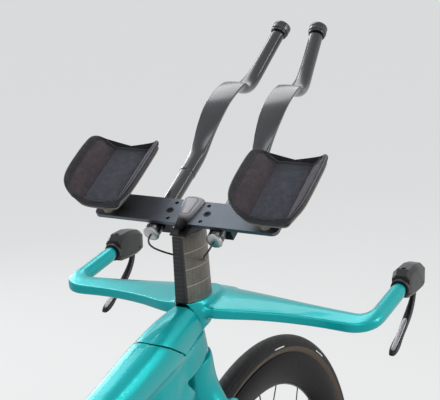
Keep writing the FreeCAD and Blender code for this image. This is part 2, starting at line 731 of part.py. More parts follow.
def stem_seam():
    """Point and forward normal of the leaning seam between stem and cover."""
    lean = math.radians(STEM_SEAM_LEAN)
    return cockpit(STEM_REAR_REACH, 0, 0), VEC(math.cos(lean), 0, math.sin(lean))


def head_cover():
    body = top_tube().common(cover_space(0))
    seam, ahead = stem_seam()
    body = body.cut(beyond(seam - ahead * FACE_GAP, ahead))
    body = body.cut(swing_space(STEERER_RADIUS + FACE_GAP, HEAD_TOP_ALONG, STEER_UP))
    return max(body.Solids, key=lambda solid: solid.Volume)


def headset_bearings():
    rings = []
    for along in (CROWN_SEAM_ALONG, HEAD_TOP_ALONG - BEARING_HEIGHT):
        outer = Part.makeCylinder(BEARING_RADIUS, BEARING_HEIGHT, on_steer(along), STEER_UP)
        inner = Part.makeCylinder(STEERER_RADIUS + FIT_GAP, BEARING_HEIGHT, on_steer(along), STEER_UP)
        rings.append(outer.cut(inner))
    return Part.makeCompound(rings)


def bottom_bracket_cups():
    cups = []
    for hand in (1, -1):
        barrel = tube(CRANK_AXIS, CUP_RADIUS, SPINDLE_RADIUS + FIT_GAP, 0, SHELL_HALF_LENGTH - FIT_GAP)
        barrel = barrel.cut(drum(CRANK_AXIS, CUP_RADIUS, 0, CUP_RADIUS))
        flange = tube(CRANK_AXIS, CUP_FLANGE_RADIUS, SPINDLE_RADIUS + FIT_GAP, SHELL_HALF_LENGTH,
                      SHELL_HALF_LENGTH + CUP_FLANGE_THICK)
        neck = tube(CRANK_AXIS, CUP_RADIUS, SPINDLE_RADIUS + FIT_GAP, SHELL_HALF_LENGTH - FIT_GAP,
                    SHELL_HALF_LENGTH)
        cup = merged([barrel, neck, flange])
        cups.append(cup if hand > 0 else mirrored(cup))
    return Part.makeCompound(cups)


def thru_axle(axle, half_length):
    """Plain axle with a flat head on the left."""
    shaft = drum(axle, AXLE_RADIUS, -half_length, half_length)
    head = drum(axle, AXLE_HEAD_RADIUS, half_length, half_length + AXLE_HEAD_THICK)
    return merged([shaft, head])


def caliper(middle, side_face, axle, rotor_radius):
    """Brake caliper with a slot for the rotor and a foot reaching its mounting face."""
    low = middle.y - CALIPER_SLOT / 2
    high = middle.y + CALIPER_SLOT / 2
    block = caliper_block(middle, low - CALIPER_WALL, side_face - FACE_GAP)
    uprights = [edge for edge in block.Edges if abs(edge.tangentAt(0).y) > 0.99]
    block = block.makeFillet(CALIPER_SLOT, uprights)
    return block.cut(drum(axle, rotor_radius + CALIPER_SLOT / 2, low, high))


def front_caliper_middle():
    return FRONT_AXLE + VEC(-FRONT_CALIPER_BACK, FRONT_ROTOR_SIDE, FRONT_CALIPER_RISE)


def fork_leg():
    top = on_steer(CROWN_SEAM_ALONG - LEG_TOP_DROP, LEG_TOP_AHEAD) + SIDE * LEG_TOP_SIDE
    end = FRONT_AXLE + SIDE * LEG_END_SIDE
    wires = []
    for share, chord_share, thick_share in LEG_SHARES:
        wires.append(oval(blend(top, end, share), AHEAD, SIDE, LEG_HALF_CHORD * chord_share,
                          LEG_HALF_THICK * thick_share, LEG_POWER))
    tip = drum(FRONT_AXLE, FORK_TIP_RADIUS, FORK_TIP_FACE, LEG_END_SIDE + LEG_HALF_THICK * thick_share)
    return merged([skin(wires), tip])


def fork_crown():
    half_length = (CROWN_NOSE + CROWN_TAIL) / 2
    ahead = (CROWN_NOSE - CROWN_TAIL) / 2
    wires = []
    for share, flare_share in CROWN_FLARE_SHARES:
        along = CROWN_SEAM_ALONG - FACE_GAP - (FORK_CROWN_DEPTH - FACE_GAP) * share
        half_width = blend(HEAD_HALF_WIDTH, CROWN_LOW_HALF_WIDTH, flare_share)
        wires.append(oval(on_steer(along, ahead), STEER_AHEAD, SIDE, half_length, half_width, STAY_POWER))
    return skin(wires)


def fork():
    leg = fork_leg()
    boss = caliper_block(front_caliper_middle(), FRONT_CALIPER_FACE, LEG_END_SIDE - LEG_HALF_THICK / 2)
    steerer = Part.makeCylinder(STEERER_RADIUS, HEAD_TUBE_LENGTH + STEERER_LENGTH,
                                on_steer(CROWN_SEAM_ALONG - STEERER_RADIUS), STEER_UP)
    body = merged([fork_crown(), leg, mirrored(leg), boss, steerer])
    body = body.cut(drum(FRONT_AXLE, TYRE_RADIUS + WHEEL_CLEARANCE, -WHEEL_POCKET_HALF_WIDTH,
                         WHEEL_POCKET_HALF_WIDTH))
    body = body.cut(drum(FRONT_AXLE, AXLE_RADIUS + FIT_GAP, -FAR, FAR))
    return max(body.Solids, key=lambda solid: solid.Volume)


def tyre(axle):
    half = TYRE_WIDTH / 2
    core = TYRE_RADIUS - half
    wrap = math.radians(TYRE_WRAP)

    def around(radius, turn):
        return axle + VEC(0, radius * math.sin(turn), core + radius * math.cos(turn))

    def at(side, radius):
        return axle + VEC(0, side, radius)

    inside = half - TYRE_WALL
    low = BEAD_SIDE - TYRE_WALL
    edges = [Part.Arc(around(half, -wrap), around(half, 0), around(half, wrap)).toShape(),
             Part.Arc(around(inside, -wrap), around(inside, 0), around(inside, wrap)).toShape()]
    for hand in (1, -1):
        corners = [around(half, wrap * hand), at(BEAD_SIDE * hand, BEAD_KNEE_RADIUS),
                   at(BEAD_SIDE * hand, BEAD_RADIUS), at(low * hand, BEAD_RADIUS),
                   at(low * hand, BEAD_KNEE_RADIUS), around(inside, wrap * hand)]
        edges += [Part.makeLine(one, two) for one, two in zip(corners, corners[1:])]
    wire = Part.Wire(Part.__sortEdges__(edges))
    return Part.Face(wire).revolve(axle, SIDE, FULL_TURN)


def rim_bed(hand):
    """Corners of the tyre bed on one side, from the middle out to the lip."""
    bed = BEAD_RADIUS - FACE_GAP
    inner = BEAD_SIDE + FACE_GAP
    knee = BEAD_KNEE_RADIUS - FACE_GAP
    return [(0, bed), (inner * hand, bed), (inner * hand, knee), (RIM_LIP_SIDE * hand, RIM_EDGE_RADIUS)]


def front_rim():
    nose = RIM_EDGE_RADIUS - RIM_DEPTH

    def at(side, radius):
        return FRONT_AXLE + VEC(0, side, radius)

    left = [at(side, radius) for side, radius in rim_bed(1)]
    right = [at(side, radius) for side, radius in rim_bed(-1)]
    skin_points = [left[-1]]
    for depth_share, width_share in RIM_SIDE_SHARES:
        skin_points.append(at(RIM_HALF_WIDTH * width_share, RIM_EDGE_RADIUS - RIM_DEPTH * depth_share))
    skin_points.append(at(0, nose))
    for depth_share, width_share in reversed(RIM_SIDE_SHARES):
        skin_points.append(at(-RIM_HALF_WIDTH * width_share, RIM_EDGE_RADIUS - RIM_DEPTH * depth_share))
    skin_points.append(right[-1])
    curve = Part.BSplineCurve()
    curve.interpolate(skin_points)
    edges = [curve.toShape()]
    edges += [Part.makeLine(one, two) for one, two in zip(left[1:], left[2:])]
    edges += [Part.makeLine(one, two) for one, two in zip(right[1:], right[2:])]
    edges.append(Part.makeLine(left[1], right[1]))
    wire = Part.Wire(Part.__sortEdges__(edges))
    return Part.Face(wire).revolve(FRONT_AXLE, SIDE, FULL_TURN)


def front_spokes():
    spokes = []
    rim_radius = RIM_EDGE_RADIUS - RIM_DEPTH - FACE_GAP
    for index in range(SPOKE_COUNT):
        turn = 2 * math.pi * index / SPOKE_COUNT
        lean = math.radians(SPOKE_LEAN) * (1 if index % 4 < 2 else -1)
        flange = FRONT_FLANGE_SIDES[index % 2] + math.copysign(SPOKE_THICK * SPOKE_PASS_SHARE, lean)
        rim_side = math.copysign(SPOKE_RIM_SIDE, flange)
        hub_radius = FLANGE_RADIUS + FACE_GAP + SPOKE_THICK
        at_hub = turn + lean
        start = FRONT_AXLE + VEC(hub_radius * math.sin(at_hub), flange, hub_radius * math.cos(at_hub))
        end = FRONT_AXLE + VEC(rim_radius * math.sin(turn), rim_side, rim_radius * math.cos(turn))
        tangent = VEC(math.cos(turn), 0, -math.sin(turn))
        spokes.append(beam(start, end, tangent, SPOKE_WIDTH, SPOKE_THICK))
    return Part.makeCompound(spokes)


def front_hub():
    right, left = FRONT_FLANGE_SIDES
    half = FLANGE_THICK / 2
    end = FRONT_HUB_HALF_LENGTH
    seat = FRONT_ROTOR_SIDE + ROTOR_THICK / 2
    bore = AXLE_RADIUS + FIT_GAP
    outline = [(bore, -end), (HUB_END_RADIUS, -end), (HUB_END_RADIUS, right - half - HUB_SHOULDER),
               (HUB_BARREL_RADIUS, right - half - HUB_SHOULDER), (FLANGE_RADIUS, right - half),
               (FLANGE_RADIUS, right + half), (HUB_BARREL_RADIUS, right + half + HUB_SHOULDER),
               (HUB_BARREL_RADIUS, left - half - HUB_SHOULDER), (FLANGE_RADIUS, left - half),
               (FLANGE_RADIUS, left + half), (ROTOR_SEAT_RADIUS, left + half + HUB_SHOULDER),
               (ROTOR_SEAT_RADIUS, seat), (HUB_END_RADIUS, seat), (HUB_END_RADIUS, end), (bore, end)]
    return turned(outline, FRONT_AXLE)


def rotor(axle, radius, side):
    """Brake rotor: track, arms and eye in one plate."""
    low = side - ROTOR_THICK / 2
    high = side + ROTOR_THICK / 2
    eye = ROTOR_SEAT_RADIUS + FIT_GAP
    pieces = [tube(axle, radius, radius - ROTOR_TRACK, low, high)]
    pieces.append(tube(axle, eye + ROTOR_EYE_WALL, eye, low, high))
    for index in range(ROTOR_ARMS):
        turn = 2 * math.pi * index / ROTOR_ARMS
        out = VEC(math.sin(turn), 0, math.cos(turn))
        start = axle + SIDE * side + out * (eye + ROTOR_EYE_WALL / 2)
        end = axle + SIDE * side + out * (radius - ROTOR_TRACK / 2)
        pieces.append(beam(start, end, SIDE, ROTOR_THICK, ROTOR_ARM_WIDTH))
    return merged(pieces)


def rear_disc():
    bed = list(reversed(rim_bed(-1))) + rim_bed(1)[1:]
    outline = [(radius, side) for side, radius in bed]
    waist = RIM_EDGE_RADIUS - RIM_DEPTH * RIM_SIDE_SHARES[0][0]
    outline += [(waist, RIM_HALF_WIDTH), (DISC_HUB_RADIUS, DISC_LEFT_SIDE)]
    outline += [(DISC_HUB_RADIUS, -DISC_RIGHT_SIDE), (waist, -RIM_HALF_WIDTH)]
    return turned(outline, REAR_AXLE)


def rear_hub():
    end = REAR_HUB_HALF_LENGTH
    seat = REAR_ROTOR_SIDE + ROTOR_THICK / 2
    bore = AXLE_RADIUS + FIT_GAP
    drum_radius = DISC_HUB_RADIUS - FIT_GAP
    outline = [(bore, -end), (HUB_END_RADIUS, -end), (HUB_END_RADIUS, -end + HUB_SHOULDER),
               (FREEHUB_RADIUS, -end + HUB_SHOULDER), (FREEHUB_RADIUS, -DISC_RIGHT_SIDE),
               (drum_radius, -DISC_RIGHT_SIDE), (drum_radius, DISC_LEFT_SIDE),
               (ROTOR_SEAT_RADIUS, DISC_LEFT_SIDE + HUB_SHOULDER), (ROTOR_SEAT_RADIUS, seat),
               (HUB_END_RADIUS, seat), (HUB_END_RADIUS, end), (bore, end)]
    return turned(outline, REAR_AXLE)


def pitch_radius(teeth):
    return CHAIN_PITCH / (2 * math.sin(math.pi / teeth))


def toothed(axle, teeth, thick, side, bore):
    """Sprocket plate with plain teeth."""
    radius = pitch_radius(teeth)
    points = []
    for tooth in range(teeth):
        for share, height_share in TOOTH_SHARES:
            turn = 2 * math.pi * (tooth + share) / teeth
            out = radius + (TOOTH_RISE if height_share > 0 else TOOTH_FALL) * height_share
            points.append(axle + VEC(out * math.sin(turn), side - thick / 2, out * math.cos(turn)))
    plate = loop_face(points).extrude(SIDE * thick)
    return plate.cut(drum(axle, bore, -FAR, FAR))


def cassette():
    solids = []
    for index, teeth in enumerate(COG_TEETH):
        side = -CHAIN_LINE + (index - CHAIN_COG) * COG_SPACING
        solids.append(toothed(REAR_AXLE, teeth, COG_THICK, side, COG_BORE_RADIUS))
    first = -CHAIN_LINE - CHAIN_COG * COG_SPACING - COG_THICK
    last = -CHAIN_LINE + (len(COG_TEETH) - 1 - CHAIN_COG) * COG_SPACING + COG_THICK
    carrier = tube(REAR_AXLE, COG_BORE_RADIUS - FIT_GAP, FREEHUB_RADIUS + FIT_GAP, first, last)
    return Part.makeCompound(solids + [carrier])


def chainring():
    ring = toothed(CRANK_AXIS, RING_TEETH, TOOTH_THICK, -CHAIN_LINE, RING_HOLE_RADIUS)
    body_radius = pitch_radius(RING_TEETH) - CHAIN_HALF_HEIGHT - TOOTH_FALL
    body = tube(CRANK_AXIS, body_radius, RING_HOLE_RADIUS, -CHAIN_LINE - RING_PLATE_THICK / 2,
                -CHAIN_LINE + RING_PLATE_THICK / 2)
    return merged([ring, body])


def crank_arm(reach, side_from, side_to):
    """Crank arm along the ground line, from the crank axis to the pedal eye."""
    wires = []
    middle = (side_from + side_to) / 2
    half_thick = abs(side_to - side_from) / 2
    for share, width_share in CRANK_SHARES:
        centre = CRANK_AXIS + VEC(reach * share, middle, 0)
        wires.append(oval(centre, SIDE, UP, half_thick, CRANK_HALF_WIDTH * width_share, CRANK_POWER))
    return skin(wires)


def right_crank():
    inner = -CRANK_INNER_SIDE
    ring_face = -CHAIN_LINE - RING_PLATE_THICK / 2
    spider = drum(CRANK_AXIS, SPIDER_RADIUS, inner - CRANK_THICK / 2, ring_face - FIT_GAP)
    spindle = drum(CRANK_AXIS, SPINDLE_RADIUS, inner, CRANK_INNER_SIDE - FACE_GAP)
    body = merged([crank_arm(CRANK_LENGTH, inner - CRANK_THICK, inner), spider, spindle])
    eye = CRANK_AXIS + AHEAD * CRANK_LENGTH
    return body.cut(drum(eye, PEDAL_AXLE_RADIUS + FIT_GAP, -FAR, 0))


def left_crank():
    body = crank_arm(-CRANK_LENGTH, CRANK_INNER_SIDE, CRANK_INNER_SIDE + CRANK_THICK)
    eye = CRANK_AXIS - AHEAD * CRANK_LENGTH
    return body.cut(drum(eye, PEDAL_AXLE_RADIUS + FIT_GAP, 0, FAR))


def pedal_eye(hand):
    return CRANK_AXIS - AHEAD * (CRANK_LENGTH * hand)


def pedal_axles():
    axles = []
    for hand in (1, -1):
        axle = drum(pedal_eye(hand), PEDAL_AXLE_RADIUS, CRANK_INNER_SIDE + FACE_GAP,
                    CRANK_INNER_SIDE + CRANK_THICK + PEDAL_AXLE_LENGTH)
        if hand < 0:
            axle = mirrored(axle)
        axles.append(axle)
    return Part.makeCompound(axles)


def pedal(hand):
    eye = pedal_eye(hand)
    start = CRANK_INNER_SIDE + CRANK_THICK + PEDAL_STAND
    middle = eye + SIDE * (hand * (start + PEDAL_HALF_WIDTH))
    wires = []
    for share, width_share, height_share in PEDAL_SHARES:
        centre = middle + AHEAD * (PEDAL_HALF_LENGTH * share)
        wires.append(oval(centre, SIDE, UP, PEDAL_HALF_WIDTH * width_share, PEDAL_HALF_HEIGHT * height_share,
                          CRANK_POWER))
    return skin(wires).cut(drum(eye, PEDAL_AXLE_RADIUS + FIT_GAP, -FAR, FAR))


def chain_wheels():
    """Wheels the chain runs over, in running order: centre, pitch radius, turning sense."""
    guide = REAR_AXLE + VEC(GUIDE_AHEAD, 0, -GUIDE_DROP)
    tension = guide + VEC(TENSION_AHEAD, 0, -TENSION_DROP)
    return [(CRANK_AXIS, pitch_radius(RING_TEETH), 1), (tension, pitch_radius(PULLEY_TEETH), 1),
            (guide, pitch_radius(PULLEY_TEETH), -1), (REAR_AXLE, pitch_radius(COG_TEETH[CHAIN_COG]), 1)]


def chain_runs():
    """Free spans between wheels: where each leaves one wheel and meets the next."""
    wheels = chain_wheels()
    runs = []
    for index, (centre, radius, sense) in enumerate(wheels):
        other, other_radius, other_sense = wheels[(index + 1) % len(wheels)]
        gap = other - centre
        heading = math.atan2(gap.z, gap.x)
        swing = math.asin((sense * radius - other_sense * other_radius) / gap.Length)
        normal = heading - swing + math.pi / 2
        out = VEC(math.cos(normal), 0, math.sin(normal))
        runs.append((centre + out * (radius * sense), other + out * (other_radius * other_sense), out))
    return runs


def chain_loop(offset, side):
    """Wire round all the wheels, shifted outward from the pitch line."""
    wheels = chain_wheels()
    runs = chain_runs()
    edges = []
    shift = SIDE * side
    for index, (start, end, out) in enumerate(runs):
        moved_start = start + out * offset + shift
        moved_end = end + out * offset + shift
        edges.append(Part.makeLine(moved_start, moved_end))
        centre, radius, sense = wheels[(index + 1) % len(wheels)]
        after, _, after_out = runs[(index + 1) % len(runs)]
        turned_radius = radius + offset * sense
        first = math.atan2((out * sense).z, (out * sense).x)
        last = math.atan2((after_out * sense).z, (after_out * sense).x)
        sweep = (last - first) % (2 * math.pi)
        if sense > 0:
            sweep = sweep - 2 * math.pi
        middle = first + sweep / 2
        bulge = centre + VEC(math.cos(middle), 0, math.sin(middle)) * turned_radius + shift
        edges.append(Part.Arc(moved_end, bulge, after + after_out * offset + shift).toShape())
    return Part.Wire(edges)


def chain():
    pieces = []
    for side in (-CHAIN_LINE - CHAIN_PLATE_IN - CHAIN_PLATE_THICK, -CHAIN_LINE + CHAIN_PLATE_IN):
        outer = Part.Face(chain_loop(CHAIN_HALF_HEIGHT, side))
        inner = Part.Face(chain_loop(-CHAIN_HALF_HEIGHT, side))
        pieces.append(outer.cut(inner).extrude(SIDE * CHAIN_PLATE_THICK))
    wheels = chain_wheels()
    half_width = CHAIN_PLATE_IN + CHAIN_PLATE_THICK / 2
    for index, (start, end, out) in enumerate(chain_runs()):
        run = end - start
        margins = []
        for _, radius, sense in (wheels[index], wheels[(index + 1) % len(wheels)]):
            tip = radius + TOOTH_RISE + FACE_GAP
            margins.append(math.sqrt(tip ** 2 - (radius - CHAIN_PIN_RADIUS) ** 2) + CHAIN_PIN_RADIUS)
        count = int((run.Length - sum(margins)) / CHAIN_PITCH)
        for pin in range(count + 1):
            point = start + unit(run) * (margins[0] + pin * CHAIN_PITCH) - SIDE * (CHAIN_LINE + half_width)
            pieces.append(Part.makeCylinder(CHAIN_PIN_RADIUS, half_width * 2, point, SIDE))
    return merged(pieces)


def pulley(index):
    centre, radius, sense = chain_wheels()[index]
    return toothed(centre, PULLEY_TEETH, TOOTH_THICK, -CHAIN_LINE, PULLEY_PIN_RADIUS + FIT_GAP)


def derailleur_cage():
    """Two side plates joined by the pulley pins."""
    tension = chain_wheels()[1][0]
    guide = chain_wheels()[2][0]
    pieces = []
    for low in (-CHAIN_LINE - CAGE_IN - CAGE_THICK, -CHAIN_LINE + CAGE_IN):
        level = SIDE * (low + CAGE_THICK / 2)
        pieces.append(beam(guide + level, tension + level, SIDE, CAGE_THICK, CAGE_HALF_WIDTH * 2))
        for centre in (guide, tension):
            pieces.append(drum(centre, CAGE_HALF_WIDTH, low, low + CAGE_THICK))
    for centre in (guide, tension):
        pieces.append(drum(centre, PULLEY_PIN_RADIUS, -CHAIN_LINE - CAGE_IN - CAGE_THICK,
                           -CHAIN_LINE + CAGE_IN + CAGE_THICK))
    return merged(pieces)


def hanger_point():
    return REAR_AXLE + VEC(-HANGER_BACK, 0, -HANGER_DROP)


def derailleur_hanger():
    face = -DROPOUT_SIDE - DROPOUT_HALF_THICK - FIT_GAP
    low = hanger_point() + SIDE * (face - HANGER_THICK / 2)
    high = REAR_AXLE + SIDE * (face - HANGER_THICK / 2)
    pieces = [beam(high, low, SIDE, HANGER_THICK, LINK_WIDTH),
              drum(REAR_AXLE, DROPOUT_RADIUS, face - HANGER_THICK, face),
              drum(hanger_point(), KNUCKLE_RADIUS, face - HANGER_THICK, face)]
    return merged(pieces).cut(drum(REAR_AXLE, AXLE_RADIUS + FIT_GAP, -FAR, FAR))


def rear_derailleur():
    """Upper knuckle, link and lower knuckle."""
    face = -DROPOUT_SIDE - DROPOUT_HALF_THICK - HANGER_THICK - FIT_GAP - FIT_GAP
    guide = chain_wheels()[2][0]
    cage_face = -CHAIN_LINE - CAGE_IN - CAGE_THICK - FIT_GAP
    upper = drum(hanger_point(), KNUCKLE_RADIUS, face - LINK_THICK, face)
    lower = drum(guide, KNUCKLE_RADIUS, face - LINK_THICK, cage_face)
    level = SIDE * (face - LINK_THICK / 2)
    link = beam(hanger_point() + level, guide + level, SIDE, LINK_THICK, LINK_WIDTH)
    return merged([upper, lower, link])


def seatpost():
    return post_blank(SEAT_TUBE_HEIGHT - POST_INSERT, SEAT_TUBE_HEIGHT + POST_EXPOSED, 0)


def seatpost_wedge():
    return wedge_box(0)


def rail_level():
    """Middle of the clamped part of the saddle rails."""
    post_top = seat_point(SEAT_TUBE_HEIGHT + POST_EXPOSED, 0)
    return post_top + UP * (CRADLE_THICK + FACE_GAP + POST_HALF_DEPTH / 2)


def rail_points():
    middle = rail_level()
    nose = middle + VEC(RAIL_HALF_LENGTH, RAIL_SIDE, 0)
    tail = middle + VEC(-RAIL_HALF_LENGTH, RAIL_SIDE, 0)
    nose_end = nose + VEC(RAIL_END_RISE * 2, RAIL_NOSE_SIDE - RAIL_SIDE, RAIL_END_RISE)
    tail_end = tail + VEC(-RAIL_END_RISE, RAIL_NOSE_SIDE, RAIL_END_RISE)
    return [tail_end, tail, nose, nose_end]


def saddle_rails():
    left = rod(rail_points(), RAIL_RADIUS)
    return Part.makeCompound([left, mirrored(left)])


def saddle_clamp():
    """Lower cradle on the post and upper yoke over the rails."""
    middle = rail_level()
    cradle = Part.makeBox(CRADLE_HALF_LENGTH * 2, CRADLE_HALF_WIDTH * 2, CRADLE_THICK,
                          middle + VEC(-CRADLE_HALF_LENGTH, -CRADLE_HALF_WIDTH, -CRADLE_THICK - FIT_GAP))
    yoke = Part.makeBox(CRADLE_HALF_LENGTH * 2, CRADLE_HALF_WIDTH * 2, CRADLE_THICK - SHELL_THICK / 2,
                        middle + VEC(-CRADLE_HALF_LENGTH, -CRADLE_HALF_WIDTH, FIT_GAP))
    foot = post_section(seat_point(SEAT_TUBE_HEIGHT + POST_EXPOSED, 0) + SEAT_UP * FIT_GAP, 0)
    pad = oval(middle - UP * (CRADLE_THICK / 2), AHEAD, SIDE, CRADLE_HALF_LENGTH * CRADLE_FOOT_SHARE,
               POST_HALF_WIDTH, POST_POWER)
    cradle = merged([cradle, skin([foot, pad])])
    pieces = []
    for piece in (cradle, yoke):
        for hand in (1, -1):
            start = middle + VEC(-FAR / 2, RAIL_SIDE * hand, 0)
            piece = piece.cut(Part.makeCylinder(RAIL_RADIUS + FIT_GAP, FAR, start, AHEAD))
        pieces.append(piece)
    return Part.makeCompound(pieces)


def saddle_station(share):
    tail = rail_level() + AHEAD * (SADDLE_NOSE_REACH - SADDLE_LENGTH) + UP * SADDLE_RISE
    return tail + AHEAD * (SADDLE_LENGTH * share)


def saddle_floor(share, width_share, thick_share, span_share, lift):
    """Curve across the saddle parallel to the underside of its padding, left to right."""
    points = []
    for side_share in (1.0, 0.66, 0.33, 0.0, -0.33, -0.66, -1.0):
        side = side_share * span_share
        fall = SADDLE_PAD_THICK * thick_share * SADDLE_DROOP_SHARE * side * side
        points.append(saddle_station(share) + VEC(0, SADDLE_HALF_WIDTH * width_share * side, lift - fall))
    return points


def saddle_pad():
    wires = []
    for share, width_share, thick_share in SADDLE_SHARES:
        lift = SHELL_THICK + FACE_GAP
        floor = saddle_floor(share, width_share, thick_share, SADDLE_FLOOR_SPAN_SHARE, lift)
        station = saddle_station(share) + UP * lift
        half_width = SADDLE_HALF_WIDTH * width_share
        height = SADDLE_PAD_THICK * thick_share
        roof = [station + VEC(0, half_width * side, height * rise)
                for side, rise in both_sides(SADDLE_ROOF_SHARES)]
        wires.append(Part.Wire([open_curve(roof), Part.makeLine(roof[-1], floor[-1]),
                                open_curve(list(reversed(floor))), Part.makeLine(floor[0], roof[0])]))
    return skin(wires)


def saddle_shell():
    wires = []
    for share, width_share, thick_share in SADDLE_SHARES[1:-1]:
        upper = saddle_floor(share, width_share, thick_share, SHELL_SPAN_SHARE, SHELL_THICK - FACE_GAP)
        lower = saddle_floor(share, width_share, thick_share, SHELL_SPAN_SHARE, 0)
        wires.append(Part.Wire([open_curve(upper), Part.makeLine(upper[-1], lower[-1]),
                                open_curve(list(reversed(lower))), Part.makeLine(lower[0], upper[0])]))
    return skin(wires)


def wing_sections(hand):
    """Wing sections on one side, from the middle out into the grip."""
    wires = []
    for side_share, rear_share, front_share, rise_share, thick_share in between(WING_SHARES, EASING_STEPS):
        rear = WING_REACH * rear_share
        front = WING_REACH * front_share
        centre = cockpit((rear + front) / 2, BAR_HALF_SPAN * side_share * hand, WING_RISE * rise_share)
        wires.append(oval(centre, AHEAD, UP, (front - rear) / 2, WING_HALF_THICK * thick_share, WING_POWER))
    return wires


def bar_grip(hand):
    """Straight round grip at one end of the base bar."""
    start = cockpit(GRIP_START_REACH, GRIP_SIDE * hand, GRIP_START_RISE)
    run = cockpit(GRIP_END_REACH, GRIP_SIDE * hand, GRIP_END_RISE) - start
    grip = Part.makeCylinder(GRIP_RADIUS, run.Length + GRIP_RADIUS, start, run)
    grip = grip.cut(beyond(cockpit(GRIP_END_REACH, 0, 0), AHEAD))
    return grip


def base_bar():
    wing = straight_skin(list(reversed(wing_sections(-1))) + wing_sections(1)[1:])
    wires = []
    for rise_share, reach_share, length_share, width_share in STEM_SHARES:
        spot = cockpit(STEM_HALF_LENGTH * reach_share, 0, STEM_TOP_RISE * rise_share)
        wires.append(oval(spot, AHEAD, SIDE, STEM_HALF_LENGTH * length_share, STEM_HALF_WIDTH * width_share,
                          WING_POWER))
    body = merged([wing, skin(wires), bar_grip(1), bar_grip(-1)])
    seam, ahead = stem_seam()
    body = body.cut(beyond(seam, ahead * -1))
    body = body.cut(swing_space(NECK_SWING_RADIUS, HEAD_TOP_ALONG + FACE_GAP, STEER_UP * -1))
    body = body.cut(swing_space(STEERER_RADIUS + FIT_GAP, CROWN_SEAM_ALONG, STEER_UP))
    return max(body.Solids, key=lambda solid: solid.Volume)


def tower_outline(rise):
    """Plan of the riser tower: flat rear face, full sides, rounded nose."""
    grown = rise / (SPACER_COUNT * SPACER_HEIGHT)
    rear = cockpit(TOWER_REAR_REACH - rise * TOWER_LEAN_SHARE, 0, STEM_TOP_RISE + FACE_GAP + rise)
    half = TOWER_HALF_WIDTH * (1 - TOWER_TAPER_SHARE * grown)
    left = [rear + VEC(TOWER_LENGTH * reach, half * out, 0) for reach, out in TOWER_SIDE_SHARES]
    right = [VEC(point.x, -point.y, point.z) for point in reversed(left[:-1])]
    curve = Part.BSplineCurve()
    curve.interpolate(left + right)
    return Part.Wire([curve.toShape(), Part.makeLine(right[-1], left[0])])


def riser_spacers():
    solids = []
    for index in range(SPACER_COUNT):
        low = tower_outline(SPACER_HEIGHT * index)
        high = tower_outline(SPACER_HEIGHT * (index + 1) - FIT_GAP)
        solids.append(straight_skin([low, high]))
    return Part.makeCompound(solids)


def tower_head():
    """Tilt block between the tower and the bridge plate."""
    level = STEM_TOP_RISE + FACE_GAP + FIT_GAP + SPACER_COUNT * SPACER_HEIGHT
    low_rear = cockpit(HEAD_BLOCK_REAR, -HEAD_BLOCK_HALF_WIDTH, level)
    low_front = cockpit(HEAD_BLOCK_FRONT, -HEAD_BLOCK_HALF_WIDTH, level)
    tall = UP * FAR
    block = loop_face([low_rear, low_front, low_front + tall, low_rear + tall])
    block = block.extrude(SIDE * (HEAD_BLOCK_HALF_WIDTH * 2))
    block = block.cut(beyond(on_plate(0, 0, -PLATE_THICK - FIT_GAP), PLATE_UP))
    return block.cut(beyond(on_plate(PLATE_HALF_CHORD, 0, 0), PLATE_AHEAD))


def plate_drum(along, side, radius, off_from, off_to):
    return Part.makeCylinder(radius, off_to - off_from, on_plate(along, side, off_from), PLATE_UP)


def bridge_plate():
    chord = PLATE_HALF_CHORD
    span = PLATE_HALF_SPAN
    corners = [on_plate(-chord, -span, -PLATE_THICK), on_plate(chord, -span, -PLATE_THICK),
               on_plate(chord, span, -PLATE_THICK), on_plate(-chord, span, -PLATE_THICK)]
    slab = loop_face(corners).extrude(PLATE_UP * PLATE_THICK)
    uprights = [edge for edge in slab.Edges if abs(unit(edge.tangentAt(0)).dot(PLATE_UP)) > 0.99]
    slab = slab.makeFillet(PLATE_CORNER, uprights)
    for hand in (1, -1):
        side = PLATE_BOLT_SIDE * hand
        slab = slab.cut(plate_drum(0, side, PLATE_BOLT_RADIUS + FACE_GAP, -PLATE_BOLT_SINK, PLATE_THICK))
        slab = slab.cut(plate_drum(0, side, PLATE_SHANK_RADIUS + FIT_GAP, -PLATE_THICK, PLATE_THICK))
        for along in (-PLATE_HOLE_ALONG, PLATE_HOLE_ALONG):
            side = PLATE_HOLE_SIDE * hand
            slab = slab.cut(plate_drum(along, side, PLATE_HOLE_RADIUS, -PLATE_THICK, PLATE_THICK))
    return slab


def bridge_bolts():
    bolts = []
    for hand in (1, -1):
        side = PLATE_BOLT_SIDE * hand
        head = plate_drum(0, side, PLATE_BOLT_RADIUS, -PLATE_BOLT_SINK, 0)
        socket_radius = PLATE_SHANK_RADIUS * BOLT_SOCKET_SHARE
        socket = plate_drum(0, side, socket_radius, -PLATE_BOLT_SINK / 2, PLATE_THICK)
        shank = plate_drum(0, side, PLATE_SHANK_RADIUS, -PLATE_THICK - PLATE_BOLT_SINK, -PLATE_BOLT_SINK)
        bolts.append(merged([head, shank]).cut(socket))
    return Part.makeCompound(bolts)


def centre_cap():
    """Low teardrop cover on the middle of the plate."""
    wires = []
    for share, width_share, height_share in CAP_SHARES:
        centre = on_plate(blend(CAP_REAR, CAP_FRONT, share), 0, 0)
        wires.append(oval(centre, SIDE, PLATE_UP, CAP_HALF_WIDTH * width_share, CAP_HEIGHT * height_share,
                          WING_POWER))
    return skin(wires).cut(beyond(on_plate(0, 0, FIT_GAP), PLATE_UP * -1))


